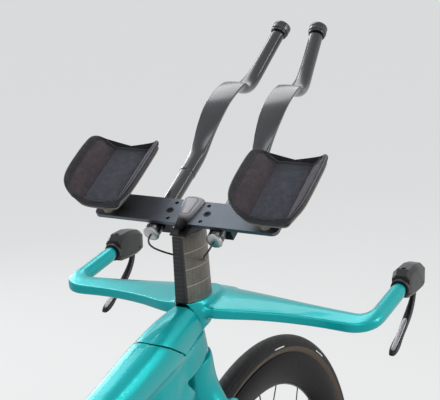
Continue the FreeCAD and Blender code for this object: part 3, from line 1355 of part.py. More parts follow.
def between(rows, steps):
    """Rows of a table eased through by a cubic, with steps between each pair."""
    eased = []
    padded = [rows[0]] + list(rows) + [rows[-1]]
    for before, start, end, after in zip(padded, padded[1:], padded[2:], padded[3:]):
        for step in range(steps):
            t = step / steps
            row = []
            for one, two, three, four in zip(before, start, end, after):
                bend = 2 * two + (three - one) * t + (2 * one - 5 * two + 4 * three - four) * t ** 2
                row.append((bend + (3 * two - one - 3 * three + four) * t ** 3) / 2)
            eased.append(tuple(row))
    return eased + [rows[-1]]


def extension_frames():
    """Rows along the shaped front of the left extension: along, side, off, width, depth, pitch."""
    rows = [(EXTENSION_STRAIGHT - EXTENSION_RADIUS * 2, EXTENSION_SIDE, -EXTENSION_DROP, SLEEVE_SHARE,
             SLEEVE_SHARE, 0.0)]
    for along_share, off_share, toe_share, width_share, depth_share, pitch in EXTENSION_SHARES:
        rows.append((EXTENSION_STRAIGHT + EXTENSION_LENGTH * along_share,
                     EXTENSION_SIDE - EXTENSION_TOE * toe_share, EXTENSION_RISE * off_share,
                     width_share, depth_share, pitch))
    return rows


def extension_end():
    """Centre and heading of the grip end of the left extension."""
    along, side, off, _, _, _ = extension_frames()[-1]
    before_along, before_side, before_off, _, _, _ = extension_frames()[-2]
    end = on_plate(along, side, off)
    return end, unit(end - on_plate(before_along, before_side, before_off))


def left_extension():
    """Round barrel, shaped S-bend and round grip in one piece."""
    wires = []
    for along, side, off, width_share, depth_share, pitch in between(extension_frames()[:-1], EASING_STEPS):
        lean = math.radians(pitch)
        deep = PLATE_UP * math.cos(lean) - PLATE_AHEAD * math.sin(lean)
        wires.append(oval(on_plate(along, side, off), SIDE, deep, EXTENSION_RADIUS * width_share,
                          EXTENSION_RADIUS * depth_share, 2))
    start = on_plate(EXTENSION_REAR, EXTENSION_SIDE, -EXTENSION_DROP)
    barrel = Part.makeCylinder(EXTENSION_RADIUS, EXTENSION_STRAIGHT - EXTENSION_REAR, start, PLATE_AHEAD)
    end, heading = extension_end()
    along, side, off, _, _, _ = extension_frames()[-2]
    root = on_plate(along, side, off) - heading * EXTENSION_RADIUS
    grip_radius = EXTENSION_RADIUS * EXTENSION_SHARES[-1][3]
    grip = Part.makeCylinder(grip_radius, (end - root).Length, root, heading)
    return merged([barrel, straight_skin(wires), grip])


def extension_clamps():
    clamps = []
    for hand in (1, -1):
        side = EXTENSION_SIDE * hand
        low = -EXTENSION_DROP - EXTENSION_RADIUS - CLAMP_WALL
        corners = [on_plate(-CLAMP_HALF_LENGTH, side - CLAMP_HALF_WIDTH, low),
                   on_plate(CLAMP_HALF_LENGTH, side - CLAMP_HALF_WIDTH, low),
                   on_plate(CLAMP_HALF_LENGTH, side + CLAMP_HALF_WIDTH, low),
                   on_plate(-CLAMP_HALF_LENGTH, side + CLAMP_HALF_WIDTH, low)]
        block = loop_face(corners).extrude(PLATE_UP * (-PLATE_THICK - FIT_GAP - low))
        start = on_plate(-CLAMP_HALF_LENGTH * 2, side, -EXTENSION_DROP)
        hole = Part.makeCylinder(EXTENSION_RADIUS + FIT_GAP, CLAMP_HALF_LENGTH * 4, start, PLATE_AHEAD)
        bolt = plate_drum(0, PLATE_BOLT_SIDE * hand, PLATE_BOLT_RADIUS, low - PLATE_THICK, 0)
        clamps.append(block.cut(hole).cut(bolt))
    return Part.makeCompound(clamps)


def extension_plugs():
    plugs = []
    for hand in (1, -1):
        start = on_plate(EXTENSION_REAR - FIT_GAP, EXTENSION_SIDE * hand, -EXTENSION_DROP)
        plug = Part.makeCylinder(PLUG_RADIUS, PLUG_LENGTH, start, PLATE_AHEAD * -1)
        far_rim = [edge for edge in plug.Edges if (edge.CenterOfMass - start).Length > PLUG_LENGTH * 0.9]
        plugs.append(plug.makeFillet(PLUG_LENGTH * PLUG_ROUND_SHARE, far_rim))
    return Part.makeCompound(plugs)


def left_collar():
    end, heading = extension_end()
    body = Part.makeCylinder(COLLAR_RADIUS, COLLAR_LENGTH, end + heading * FIT_GAP, heading)
    rims = [edge for edge in body.Edges if edge.Length > COLLAR_RADIUS * math.pi]
    body = body.makeFillet(BUTTON_STAND, rims)
    pocket_from = end + heading * (FIT_GAP + COLLAR_LENGTH - BUTTON_LENGTH)
    pocket = Part.makeCylinder(BUTTON_RADIUS + FIT_GAP, BUTTON_LENGTH * 2, pocket_from, heading)
    return body.cut(pocket)


def shifter_collars():
    collar = left_collar()
    return Part.makeCompound([collar, mirrored(collar)])


def left_shift_button():
    end, heading = extension_end()
    start = end + heading * (FIT_GAP + COLLAR_LENGTH - BUTTON_LENGTH + BUTTON_STAND)
    button = Part.makeCylinder(BUTTON_RADIUS, BUTTON_LENGTH, start, heading)
    tip = [edge for edge in button.Edges if (edge.CenterOfMass - start).Length > BUTTON_LENGTH * 0.9]
    return button.makeFillet(BUTTON_STAND / 2, tip)


def pad_wire(along_share, width_share, thick_share, wing_share):
    """Section across the left arm pad: wings, fold grooves, floor, rolled edges and base."""
    middle = on_plate(PAD_MIDDLE + PAD_LENGTH * along_share, PAD_SIDE, PAD_RISE)
    fold = PAD_GROOVE_SHARES[0]

    def at(pair):
        out = abs(pair[0])
        if out > fold:
            out = fold + (out - fold) * width_share
        lift = pair[1] if pair[1] < 0 else pair[1] * wing_share
        side = math.copysign(PAD_HALF_WIDTH * out, pair[0])
        return middle + SIDE * side + PLATE_UP * (PAD_WING_RISE * lift)

    def flip(pair):
        return (-pair[0], pair[1])

    floor = [at(pair) for pair in both_sides(PAD_FLOOR_SHARES)]
    near_wing = [at(pair) for pair in PAD_WING_SHARES]
    far_wing = [at(flip(pair)) for pair in PAD_WING_SHARES]
    base = []
    for side, lift in both_sides(PAD_BASE_SHARES):
        if abs(side) < PAD_WING_SHARES[-1][0]:
            lift = PAD_LEVEL_SHARE + (lift - PAD_LEVEL_SHARE) * thick_share
        base.append(at((side, lift)))
    near_groove = at(PAD_GROOVE_SHARES)
    far_groove = at(flip(PAD_GROOVE_SHARES))
    edges = [open_curve(floor),
             Part.makeLine(floor[-1], far_groove),
             Part.makeLine(far_groove, far_wing[-1]),
             open_curve(list(reversed(far_wing))),
             Part.Arc(far_wing[0], at(flip(PAD_TIP_SHARES)), base[-1]).toShape(),
             open_curve(list(reversed(base))),
             Part.Arc(base[0], at(PAD_TIP_SHARES), near_wing[0]).toShape(),
             open_curve(near_wing),
             Part.makeLine(near_wing[-1], near_groove),
             Part.makeLine(near_groove, floor[0])]
    return Part.Wire(edges)


def left_arm_pad():
    return straight_skin([pad_wire(*row) for row in between(PAD_END_SHARES, EASING_STEPS)])


def cup_wire(along_share, width_share, wing_share):
    middle = on_plate(PAD_MIDDLE + PAD_LENGTH * along_share, PAD_SIDE, PAD_RISE)
    fold = PAD_GROOVE_SHARES[0]
    rows = []
    for drop in (CUP_GAP, CUP_GAP + CUP_THICK):
        row = []
        for side, lift in both_sides(PAD_BASE_SHARES)[1:-1]:
            out = abs(side) if abs(side) < fold else fold + (abs(side) - fold) * width_share
            rise = lift if lift < 0 else lift * wing_share
            across = math.copysign(PAD_HALF_WIDTH * out, side)
            row.append(middle + SIDE * across + PLATE_UP * (PAD_WING_RISE * rise - drop))
        rows.append(row)
    upper, lower = rows
    return Part.Wire([open_curve(upper), Part.makeLine(upper[-1], lower[-1]),
                      open_curve(list(reversed(lower))), Part.makeLine(lower[0], upper[0])])


def left_arm_cup():
    rows = [(along, width, wing) for along, width, _, wing in between(PAD_END_SHARES, EASING_STEPS)]
    rows = [row for row in rows if abs(row[0]) < CUP_LENGTH_SHARE / 2]
    shell = straight_skin([cup_wire(*row) for row in rows])
    feet = []
    base = PAD_RISE + PAD_WING_RISE * PAD_BASE_SHARES[-1][1] - CUP_GAP - CUP_THICK / 2
    for along in CUP_FOOT_ALONG:
        feet.append(plate_drum(along, CUP_FOOT_SIDE, CUP_FOOT_RADIUS, FIT_GAP, base))
    return merged([shell] + feet)


def hood_section(hand, share, drop_share, width_share, height_share):
    reach = blend(GRIP_END_REACH + FIT_GAP, HOOD_END_REACH, share)
    centre = cockpit(reach, GRIP_SIDE * hand, HOOD_RISE + HOOD_HALF_HEIGHT * drop_share)
    wide = HOOD_HALF_WIDTH * width_share
    tall = HOOD_HALF_HEIGHT * height_share
    cut = HOOD_HALF_WIDTH * HOOD_CORNER_SHARE * width_share
    corners = [(wide, tall - cut), (wide - cut, tall), (cut - wide, tall), (-wide, tall - cut),
               (-wide, cut - tall), (cut - wide, -tall), (wide - cut, -tall), (wide, cut - tall)]
    points = [centre + VEC(0, across, lift) for across, lift in corners]
    return Part.makePolygon(points + [points[0]])


def lever_pin_point(hand):
    return cockpit(LEVER_PIN_REACH, GRIP_SIDE * hand, LEVER_PIN_RISE)


def brake_hood(hand):
    body = straight_skin([hood_section(hand, *row) for row in HOOD_SHARES])
    pin = lever_pin_point(hand)
    slot_half = LEVER_ROOT_HALF_WIDTH + LEVER_SLOT_GAP
    slot_radius = LEVER_ROOT_RADIUS + LEVER_ROOT_HALF_WIDTH
    slot = drum(pin, slot_radius, -slot_half, slot_half)
    corner = pin + VEC(-slot_radius * SLOT_BACK_SHARE, -slot_half, -FAR)
    slot = merged([slot, Part.makeBox(slot_radius * (1 + SLOT_BACK_SHARE), slot_half * 2, FAR, corner)])
    body = body.cut(slot)
    body = body.cut(drum(pin, LEVER_PIN_RADIUS + FIT_GAP, -HOOD_HALF_WIDTH * 2, HOOD_HALF_WIDTH * 2))
    screw = cockpit(HOOD_SCREW_REACH, GRIP_SIDE * hand, HOOD_RISE + HOOD_HALF_HEIGHT * HOOD_SCREW_SHARE)
    return body.cut(Part.makeCylinder(HOOD_SCREW_RADIUS + FIT_GAP, FAR, screw - UP * HOOD_SCREW_HEIGHT, UP))


def hood_fasteners():
    """Top screws and lever pins."""
    pieces = []
    for hand in (1, -1):
        pin = lever_pin_point(hand)
        half = HOOD_HALF_WIDTH * HOOD_SHARES[3][2] - FACE_GAP
        pieces.append(drum(pin, LEVER_PIN_RADIUS, -half, half))
        screw = cockpit(HOOD_SCREW_REACH, GRIP_SIDE * hand, HOOD_RISE + HOOD_HALF_HEIGHT * HOOD_SCREW_SHARE)
        base = screw - UP * (HOOD_SCREW_HEIGHT - FIT_GAP)
        pieces.append(Part.makeCylinder(HOOD_SCREW_RADIUS, HOOD_SCREW_HEIGHT, base, UP))
    return Part.makeCompound(pieces)


def brake_lever(hand):
    pin = lever_pin_point(hand)
    spots = [pin - VEC(LEVER_BACK * back, 0, LEVER_DROP * drop) for back, drop, _, _ in LEVER_SHARES]
    wires = []
    for index, (_, _, width_share, thick_share) in enumerate(LEVER_SHARES):
        before = spots[max(index - 1, 0)]
        after = spots[min(index + 1, len(spots) - 1)]
        run = unit(after - before)
        wires.append(oval(spots[index], SIDE, run.cross(SIDE), LEVER_HALF_WIDTH * width_share,
                          LEVER_HALF_THICK * thick_share, CRANK_POWER))
    root = drum(pin, LEVER_ROOT_RADIUS, -LEVER_ROOT_HALF_WIDTH, LEVER_ROOT_HALF_WIDTH)
    body = merged([skin(wires), root])
    return body.cut(drum(pin, LEVER_PIN_RADIUS + FIT_GAP, -FAR, FAR))


def shift_wires():
    """Thin cables from the extension ends down to the tower."""
    start = on_plate(EXTENSION_REAR - PLUG_LENGTH - FACE_GAP, EXTENSION_SIDE, -EXTENSION_DROP)
    back = start - PLATE_AHEAD * WIRE_BACK
    low = cockpit(WIRE_LOW_REACH, WIRE_IN_SIDE, WIRE_LOW_RISE)
    end = cockpit(WIRE_END_REACH, TOWER_HALF_WIDTH, WIRE_LOW_RISE - WIRE_DROP / 2)
    points = [start, back, low, end]
    left = rod(points, WIRE_RADIUS)
    path = bent_path(points)
    print("shift wire volume share", left.Volume / (path.Length * math.pi * WIRE_RADIUS ** 2))
    arcs = [edge.Curve.Radius for edge in path.Edges if hasattr(edge.Curve, "Radius")]
    print("shift wire bend radii", arcs)
    return Part.makeCompound([left, mirrored(left)])


def build():
    axle_half = DROPOUT_SIDE + DROPOUT_HALF_THICK + FACE_GAP
    tip_half = LEG_END_SIDE + LEG_HALF_THICK
    front_caliper = caliper(front_caliper_middle(), FRONT_CALIPER_FACE, FRONT_AXLE, FRONT_ROTOR_RADIUS)
    rear_caliper = caliper(rear_caliper_middle(), REAR_CALIPER_FACE, REAR_AXLE, REAR_ROTOR_RADIUS)
    extension = left_extension()
    button = left_shift_button()
    pad = left_arm_pad()
    cup = left_arm_cup()
    return {
        "frame": frame(),
        "head_cover": head_cover(),
        "headset_bearings": headset_bearings(),
        "bottom_bracket_cups": bottom_bracket_cups(),
        "rear_axle": thru_axle(REAR_AXLE, axle_half),
        "rear_brake_caliper": rear_caliper,
        "derailleur_hanger": derailleur_hanger(),
        "rear_derailleur": rear_derailleur(),
        "derailleur_cage": derailleur_cage(),
        "chain": chain(),
        "seatpost_wedge": seatpost_wedge(),
        "seatpost": seatpost(),
        "saddle_clamp": saddle_clamp(),
        "saddle_rails": saddle_rails(),
        "saddle_shell": saddle_shell(),
        "saddle_pad": saddle_pad(),
        "fork": fork(),
        "front_axle": thru_axle(FRONT_AXLE, tip_half),
        "front_brake_caliper": front_caliper,
        "base_bar": base_bar(),
        "riser_spacers": riser_spacers(),
        "tower_head": tower_head(),
        "bridge_plate": bridge_plate(),
        "centre_cap": centre_cap(),
        "bridge_bolts": bridge_bolts(),
        "left_extension": extension,
        "right_extension": mirrored(extension),
        "extension_clamps": extension_clamps(),
        "extension_plugs": extension_plugs(),
        "shifter_collars": shifter_collars(),
        "left_shift_button": button,
        "right_shift_button": mirrored(button),
        "left_arm_cup": cup,
        "right_arm_cup": mirrored(cup),
        "left_arm_pad": pad,
        "right_arm_pad": mirrored(pad),
        "left_brake_hood": brake_hood(1),
        "right_brake_hood": brake_hood(-1),
        "hood_fasteners": hood_fasteners(),
        "left_brake_lever": brake_lever(1),
        "right_brake_lever": brake_lever(-1),
        "shift_wires": shift_wires(),
        "front_tyre": tyre(FRONT_AXLE),
        "front_rim": front_rim(),
        "front_spokes": front_spokes(),
        "front_hub": front_hub(),
        "front_rotor": rotor(FRONT_AXLE, FRONT_ROTOR_RADIUS, FRONT_ROTOR_SIDE),
        "rear_tyre": tyre(REAR_AXLE),
        "rear_disc": rear_disc(),
        "rear_hub": rear_hub(),
        "rear_rotor": rotor(REAR_AXLE, REAR_ROTOR_RADIUS, REAR_ROTOR_SIDE),
        "cassette": cassette(),
        "right_crank": right_crank(),
        "left_crank": left_crank(),
        "chainring": chainring(),
        "pedal_axles": pedal_axles(),
        "left_pedal": pedal(1),
        "right_pedal": pedal(-1),
        "guide_pulley": pulley(2),
        "tension_pulley": pulley(1),
    }


def main():
    os.makedirs("parts", exist_ok=True)
    for name, shape in build().items():
        shape.exportStep("parts/" + name + ".step")
        box = shape.BoundBox
        print(name, shape.isValid(), len(shape.Solids), round(shape.Volume),
              [round(value, 1) for value in (box.XMin, box.XMax, box.YMin, box.YMax, box.ZMin, box.ZMax)])


main()
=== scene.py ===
"""Looks of a time trial bike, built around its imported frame."""

import math

import bmesh
import bpy
from bpy.props import FloatProperty, FloatVectorProperty, PointerProperty
from mathutils import Matrix, Vector


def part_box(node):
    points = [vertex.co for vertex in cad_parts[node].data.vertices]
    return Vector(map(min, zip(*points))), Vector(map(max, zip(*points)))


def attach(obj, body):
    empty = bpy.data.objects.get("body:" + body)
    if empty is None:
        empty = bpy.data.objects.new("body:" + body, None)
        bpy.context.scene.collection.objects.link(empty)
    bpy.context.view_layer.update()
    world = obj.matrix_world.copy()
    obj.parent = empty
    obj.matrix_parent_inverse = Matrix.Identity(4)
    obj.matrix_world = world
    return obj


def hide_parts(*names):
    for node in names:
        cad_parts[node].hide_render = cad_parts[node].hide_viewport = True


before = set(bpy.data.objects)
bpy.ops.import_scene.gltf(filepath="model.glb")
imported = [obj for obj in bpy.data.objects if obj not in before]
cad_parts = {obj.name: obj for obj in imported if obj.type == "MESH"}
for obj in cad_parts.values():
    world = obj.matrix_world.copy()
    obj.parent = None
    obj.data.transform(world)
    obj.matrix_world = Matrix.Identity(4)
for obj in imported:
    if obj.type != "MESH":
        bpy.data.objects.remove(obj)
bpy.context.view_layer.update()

bl_info = {
    "name": "Time Trial Bike",
    "version": (1, 0, 0),
    "blender": (4, 5, 0),
    "location": "View3D > Sidebar > Bike",
    "description": "Builds the painted, padded and running parts of a time trial bike on its frame",
    "category": "Add Mesh",
}

MM = 0.001
HANDS = ((1, "left"), (-1, "right"))
SIDE = Vector((0.0, 1.0, 0.0))
UP = Vector((0.0, 0.0, 1.0))
PLATE_AHEAD = Vector((0.866025, 0.0, 0.5))
PLATE_UP = Vector((-0.5, 0.0, 0.866025))


def mm(x, y, z):
    """Point or step given in millimetres."""
    return Vector((x, y, z)) * MM


STEM_FOOT = mm(306.73, 0, 775.02)
PLATE_MIDDLE = mm(308.53, 0, 926.82)
CRANK_MIDDLE = mm(-96.9, 0, 267)
FRONT_AXLE = mm(500, 0, 342)
REAR_AXLE = mm(-500, 0, 342)
TOWER_REAR = mm(284.03, 0, 814.32)
TOWER_LEAN = 0.087
EXTENSION_SIDE, EXTENSION_OFF = 45, -16
GRIP_SIDE = 221.5


def cockpit(reach, side, rise):
    """Place measured from the foot of the stem."""
    return STEM_FOOT + mm(reach, side, rise)


def on_plate(along, side, off):
    """Place measured from the middle of the bridge plate."""
    return PLATE_MIDDLE + (PLATE_AHEAD * along + SIDE * side + PLATE_UP * off) * MM


def length(name, description, default, low, high):
    """Size that a user may change, in millimetres."""
    return FloatProperty(name=name, description=description, default=default * MM, min=low * MM, max=high * MM,
                         unit="LENGTH")


def colour(name, description, default):
    """Colour that a user may change."""
    return FloatVectorProperty(name=name, description=description, default=default, min=0.0, max=1.0,
                               subtype="COLOR", size=3)


class BikeSizes(bpy.types.PropertyGroup):
    """Sizes that a user would change."""
    tyre_width: length("Tyre Width", "Width of the tyre over its tread", 30, 20, 40)
    tyre_radius: length("Tyre Radius", "Axle to tread", 342, 330, 360)
    edge_ease: length("Edge Ease", "Rounding of machined and moulded edges", 0.5, 0, 2)
    paint_voxel: length("Paint Voxel", "Cell size of the moulded frame", 2.4, 1, 6)
    pad_voxel: length("Pad Voxel", "Cell size of the saddle's cloth", 4, 3, 6)
    pad_swell: length("Pad Swell", "Farthest the foam may push its cover", 2.5, 0, 8)


class BikeColours(bpy.types.PropertyGroup):
    """Colours that a user would change."""
    paint: colour("Paint", "Pearl paint of frame, fork and bar", (0.004, 0.420, 0.435))
    paint_deep: colour("Paint Deep", "Darker fleck of the pearl", (0.003, 0.280, 0.300))
    gunmetal: colour("Gunmetal", "Polished extensions", (0.045, 0.046, 0.050))
    carbon: colour("Carbon", "Satin riser tower", (0.105, 0.090, 0.076))
    cloth: colour("Cloth", "Cover of the arm pads", (0.038, 0.043, 0.058))
    alloy: colour("Alloy", "Satin bridge plate", (0.13, 0.145, 0.17))
    rubber: colour("Rubber", "Tyre tread", (0.007, 0.007, 0.008))


def sizes():
    return bpy.context.scene.bike_sizes


def colours():
    return bpy.context.scene.bike_colours


# Shader nodes

def add(tree, kind, *outputs, inputs=None, **settings):
    """New shader node with its settings, values and links; gives the named signals it puts out."""
    node = tree.nodes.new("ShaderNode" + kind)
    for name, value in settings.items():
        setattr(node, name, value)
    for key, value in (inputs or {}).items():
        if isinstance(value, Signal):
            tree.links.new(value.socket, node.inputs[key])
        else:
            node.inputs[key].default_value = value
    signals = [Signal(tree, node.outputs[key]) for key in outputs]
    return signals[0] if len(signals) == 1 else signals


class Signal:
    """Value or colour that changes over a surface; arithmetic on it adds shader nodes."""

    def __init__(self, tree, socket):
        self.tree = tree
        self.socket = socket

    def math(self, operation, other=0.0):
        return add(self.tree, "Math", 0, inputs={0: self, 1: other}, operation=operation)

    def __add__(self, other):
        return self.math("ADD", other)

    def __sub__(self, other):
        return self.math("SUBTRACT", other)

    def __mul__(self, other):
        return self.math("MULTIPLY", other)

    def __truediv__(self, other):
        return self.math("DIVIDE", other)

    def __abs__(self):
        return self.math("ABSOLUTE")

    def most(self, other):
        return self.math("MAXIMUM", other)

    def waves(self, pace):
        return (self * pace).math("SINE")

    def spread(self, low, high, to_low, to_high):
        """Value carried from one range to another and kept inside it."""
        ends = {"Value": self, "From Min": low, "From Max": high, "To Min": to_low, "To Max": to_high}
        return add(self.tree, "MapRange", "Result", inputs=ends)

    def line(self, middle, inner, outer):
        """One close to a middle value, fading to nothing."""
        return abs(self - middle).spread(inner, outer, 1.0, 0.0)

    def mix(self, first, second):
        """Colour between two colours."""
        ends = [end if isinstance(end, Signal) else (*end, 1.0) for end in (first, second)]
        return add(self.tree, "Mix", 2, inputs={0: self, 6: ends[0], 7: ends[1]}, data_type="RGBA")


def shared(name, inputs, outputs, fill):
    """Shader node group, built once; fill makes its outputs from the place on a piece and its inputs."""
    if name in bpy.data.node_groups:
        return bpy.data.node_groups[name]
    tree = bpy.data.node_groups.new(name, "ShaderNodeTree")
    for label, value in inputs.items():
        socket = tree.interface.new_socket(label, in_out="INPUT", socket_type="NodeSocketFloat")
        socket.default_value = value
    for label in outputs:
        tree.interface.new_socket(label, in_out="OUTPUT", socket_type="NodeSocketFloat")
    given = tree.nodes.new("NodeGroupInput")
    result = tree.nodes.new("NodeGroupOutput")
    place = add(tree, "TexCoord", "Object")
    made = fill(tree, place, *[Signal(tree, given.outputs[label]) for label in inputs])
    for label, signal in zip(outputs, made):
        tree.links.new(signal.socket, result.inputs[label])
    return tree


def placed(tree, group, *values):
    """A shared effect put into a material with its own values, in the order of its inputs."""
    node = tree.nodes.new("ShaderNodeGroup")
    node.node_tree = group
    for socket, value in zip(node.inputs, values):
        socket.default_value = value
    return [Signal(tree, socket) for socket in node.outputs]


def speckle(tree, scale, low=0.0, high=1.0):
    """Soft spots between two values."""
    def fill(inside, place, scale, low, high):
        noise = add(inside, "TexNoise", "Fac", inputs={"Vector": place, "Scale": scale, "Detail": 3.0})
        return (noise.spread(0.32, 0.68, low, high),)

    group = shared("Speckle", {"Scale": 100.0, "Low": 0.0, "High": 1.0}, ("Value",), fill)
    return placed(tree, group, scale, low, high)[0]


def knit(tree, scale):
    """Rows of small loops with a raised crown each: height, and painted shade that lights each crown and darkens
    between the loops.
    """
    def fill(inside, place, scale):
        far, cell = add(inside, "TexVoronoi", "Distance", "Color",
                        inputs={"Vector": place, "Scale": scale, "Randomness": 0.55})
        crown = far.spread(0.0, 0.75, 1.0, 0.0)
        tint = add(inside, "SeparateColor", 0, inputs={"Color": cell})
        # The second output is painted shade: bright on each crown, dark between the loops
        return crown, crown * tint.spread(0.0, 1.0, 0.55, 1.0)

    return placed(tree, shared("Knit", {"Scale": 900.0}, ("Height", "Painted Shade"), fill), scale)


def weave(tree, scale):
    """Twill of carbon tow: which of two directions shows."""
    def fill(inside, place, scale):
        turned = add(inside, "Mapping", "Vector", inputs={"Vector": place, "Rotation": (0.6, 0.5, 0.78)})
        check = add(inside, "TexChecker", "Fac", inputs={"Vector": turned, "Scale": scale})
        noise = add(inside, "TexNoise", "Fac", inputs={"Vector": place, "Scale": 60.0, "Detail": 2.0})
        return (check * noise.spread(0.3, 0.7, 0.4, 1.0),)

    return placed(tree, shared("Weave", {"Scale": 400.0}, ("Mask",), fill), scale)[0]


def wheel(tree, axle):
    """Distance from an axle and angle round it, for things that follow a wheel."""
    def fill(inside, place, axle_x, axle_z):
        x, z = add(inside, "SeparateXYZ", "X", "Z", inputs={"Vector": place})
        across, above = x - axle_x, z - axle_z
        return (across * across + above * above).math("SQRT"), across.math("ARCTAN2", above)

    group = shared("Wheel Place", {"Axle X": 0.5, "Axle Z": 0.342}, ("Radius", "Turn"), fill)
    return placed(tree, group, axle.x, axle.z)


class Look:
    """New material: plain values sit on its shader, and signals feed what changes over the surface."""

    def __init__(self, name, **values):
        self.material = bpy.data.materials.new(name)
        self.material.use_nodes = True
        self.tree = self.material.node_tree
        self.shader = self.tree.nodes["Principled BSDF"]
        for label, value in values.items():
            self.shader.inputs[label.replace("_", " ")].default_value = value

    def feed(self, label, signal):
        self.tree.links.new(signal.socket, self.shader.inputs[label])

    def colour(self, signal):
        self.feed("Base Color", signal)

    def rough(self, scale, low, high):
        self.feed("Roughness", speckle(self.tree, scale, low, high))

    def bump(self, height, distance):
        inputs = {"Height": height, "Distance": distance, "Strength": 1.0}
        self.feed("Normal", add(self.tree, "Bump", "Normal", inputs=inputs))

    def place(self):
        return add(self.tree, "TexCoord", "Object")

    def axes(self):
        return add(self.tree, "SeparateXYZ", "X", "Y", "Z", inputs={"Vector": self.place()})

    def along_plate(self):
        inputs = {0: self.place(), 1: PLATE_AHEAD}
        return add(self.tree, "VectorMath", "Value", inputs=inputs, operation="DOT_PRODUCT")


def scaled(base, *shares):
    """Colour with its channels scaled, all alike or one by one."""
    shares = shares * 3 if len(shares) == 1 else shares
    return tuple(channel * share for channel, share in zip(base, shares))


def pearl_paint(name):
    """Pearl with fine flecks and a slow drift between two depths."""
    look = Look(name, Metallic=0.42, Coat_Weight=0.25, Coat_Roughness=0.05, Specular_IOR_Level=0.1)
    depth = (speckle(look.tree, 2600.0) * 0.42).most(speckle(look.tree, 9.0, 0.0, 0.35))
    look.colour(depth.mix(colours().paint, colours().paint_deep))
    look.rough(14.0, 0.30, 0.38)
    return look.material


def polished_dark(name):
    """Dark lacquered tube with a mirror shine and a trace of the tow under it."""
    look = Look(name, Metallic=0.95, Coat_Weight=0.5, Coat_Roughness=0.18)
    base = colours().gunmetal
    look.colour((weave(look.tree, 420.0) * 0.35).mix(base, scaled(base, 0.72, 0.71, 0.70)))
    look.rough(22.0, 0.27, 0.35)
    return look.material


def gloss_black(name):
    """Black lacquer over tow."""
    look = Look(name, Coat_Weight=0.08, Coat_Roughness=0.08, Specular_IOR_Level=0.02)
    look.colour(weave(look.tree, 380.0).mix((0.004, 0.004, 0.005), (0.010, 0.010, 0.011)))
    look.rough(18.0, 0.22, 0.32)
    return look.material


# Graduations on the tower's rear face: how fast each column's lines follow each other, and where it ends
FINE_LINES, FINE_EDGE = 3140.0, -0.0058
WIDE_LINES, WIDE_EDGE = 1142.0, -0.0030


def tower_carbon(name):
    """Satin carbon sides with a painted highlight on the joints, and a black rear face with fine graduations."""
    look = Look(name, Metallic=0.2, Coat_Weight=0.15, Coat_Roughness=0.3)
    x, y, z = look.axes()
    low, high = (Vector(corner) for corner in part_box("riser_spacers"))
    level = (z - low.z) / ((high.z - low.z) / 4)
    # Lines at the joints between the spacers: raised a little in the bump, and painted pale as a highlight on
    # their edges
    joint_and_highlight = level.math("PINGPONG", 0.5).spread(0.016, 0.034, 1.0, 0.0)
    tow = weave(look.tree, 340.0)
    base = colours().carbon
    marbled = speckle(look.tree, 70.0, 0.0, 0.9).mix(base, scaled(base, 0.5))
    ground = (tow * 0.35).mix(marbled, scaled(base, 1.7, 1.65, 1.6))
    face = TOWER_REAR.x + TOWER_REAR.z * TOWER_LEAN
    rear = (x + z * TOWER_LEAN).spread(face + 0.7 * MM, face + 1.4 * MM, 1.0, 0.0)
    fine = z.waves(FINE_LINES).spread(0.2, 0.7, 0.0, 1.0) * y.math("LESS_THAN", FINE_EDGE)
    wide = z.waves(WIDE_LINES).spread(0.86, 0.96, 0.0, 1.0) * y.math("GREATER_THAN", WIDE_EDGE)
    marks = fine.most(wide)
    black = marks.mix((0.009, 0.009, 0.010), (0.045, 0.043, 0.040))
    # The pale colour on the joint lines is a painted highlight
    look.colour(rear.mix(joint_and_highlight.mix(ground, (0.34, 0.29, 0.23)), black))
    look.feed("Roughness", speckle(look.tree, 40.0, 0.40, 0.52) - rear * 0.08)
    look.bump(tow + joint_and_highlight - rear * marks.most(0.4), 0.06 * MM)
    return look.material


def cap_silver(name):
    """Bead blasted cap with an inset outline and a dark foot."""
    look = Look(name, Metallic=0.7)
    along = look.along_plate() - (PLATE_MIDDLE.dot(PLATE_AHEAD) + 0.004)
    side = look.axes()[1]
    taper = along.spread(-0.02, 0.02, 0.0010, 0.0054)
    reach = (abs(along) - 0.0105).most(0.0)
    width = (abs(side) - taper).most(0.0)
    outline = (reach * reach + width * width).math("SQRT").line(0.0042, 0.00025, 0.00060)
    grain = speckle(look.tree, 900.0, 0.0, 0.5)
    worked = outline.mix(grain.mix((0.33, 0.33, 0.35), (0.26, 0.26, 0.28)), (0.05, 0.05, 0.055))
    foot = along.spread(-0.024, -0.012, 1.0, 0.0)
    look.colour(foot.mix(worked, (0.012, 0.012, 0.013)))
    look.rough(240.0, 0.42, 0.50)
    look.bump(grain * 0.1 - outline, 0.2 * MM)
    return look.material


def cup_ribs(name):
    """Ribbed tan edge of the arm cups."""
    look = Look(name, Metallic=0.1)
    rib = look.along_plate().waves(4200.0).spread(-0.6, 0.6, 0.0, 1.0)
    ground = speckle(look.tree, 45.0, 0.0, 0.6).mix((0.27, 0.235, 0.20), (0.17, 0.15, 0.13))
    look.colour((rib * 0.35).mix(ground, (0.36, 0.32, 0.275)))
    look.rough(60.0, 0.42, 0.56)
    look.bump(rib, 0.1 * MM)
    return look.material


def satin_metal(name, base, rough_low, rough_high):
    """Blasted and anodised metal."""
    look = Look(name, Metallic=1.0)
    look.colour(speckle(look.tree, 30.0, 0.0, 0.5).mix(base, scaled(base, 0.82)))
    look.rough(240.0, rough_low, rough_high)
    look.bump(speckle(look.tree, 1800.0), 0.02 * MM)
    return look.material


def moulded_plastic(name, base, rough, shine=0.5):
    """Plastic with a fine moulded grain."""
    look = Look(name, Specular_IOR_Level=shine)
    look.colour(speckle(look.tree, 35.0, 0.0, 0.6).mix(base, scaled(base, 0.75)))
    look.rough(60.0, rough - 0.06, rough + 0.08)
    look.bump(speckle(look.tree, 2200.0), 0.05 * MM)
    return look.material


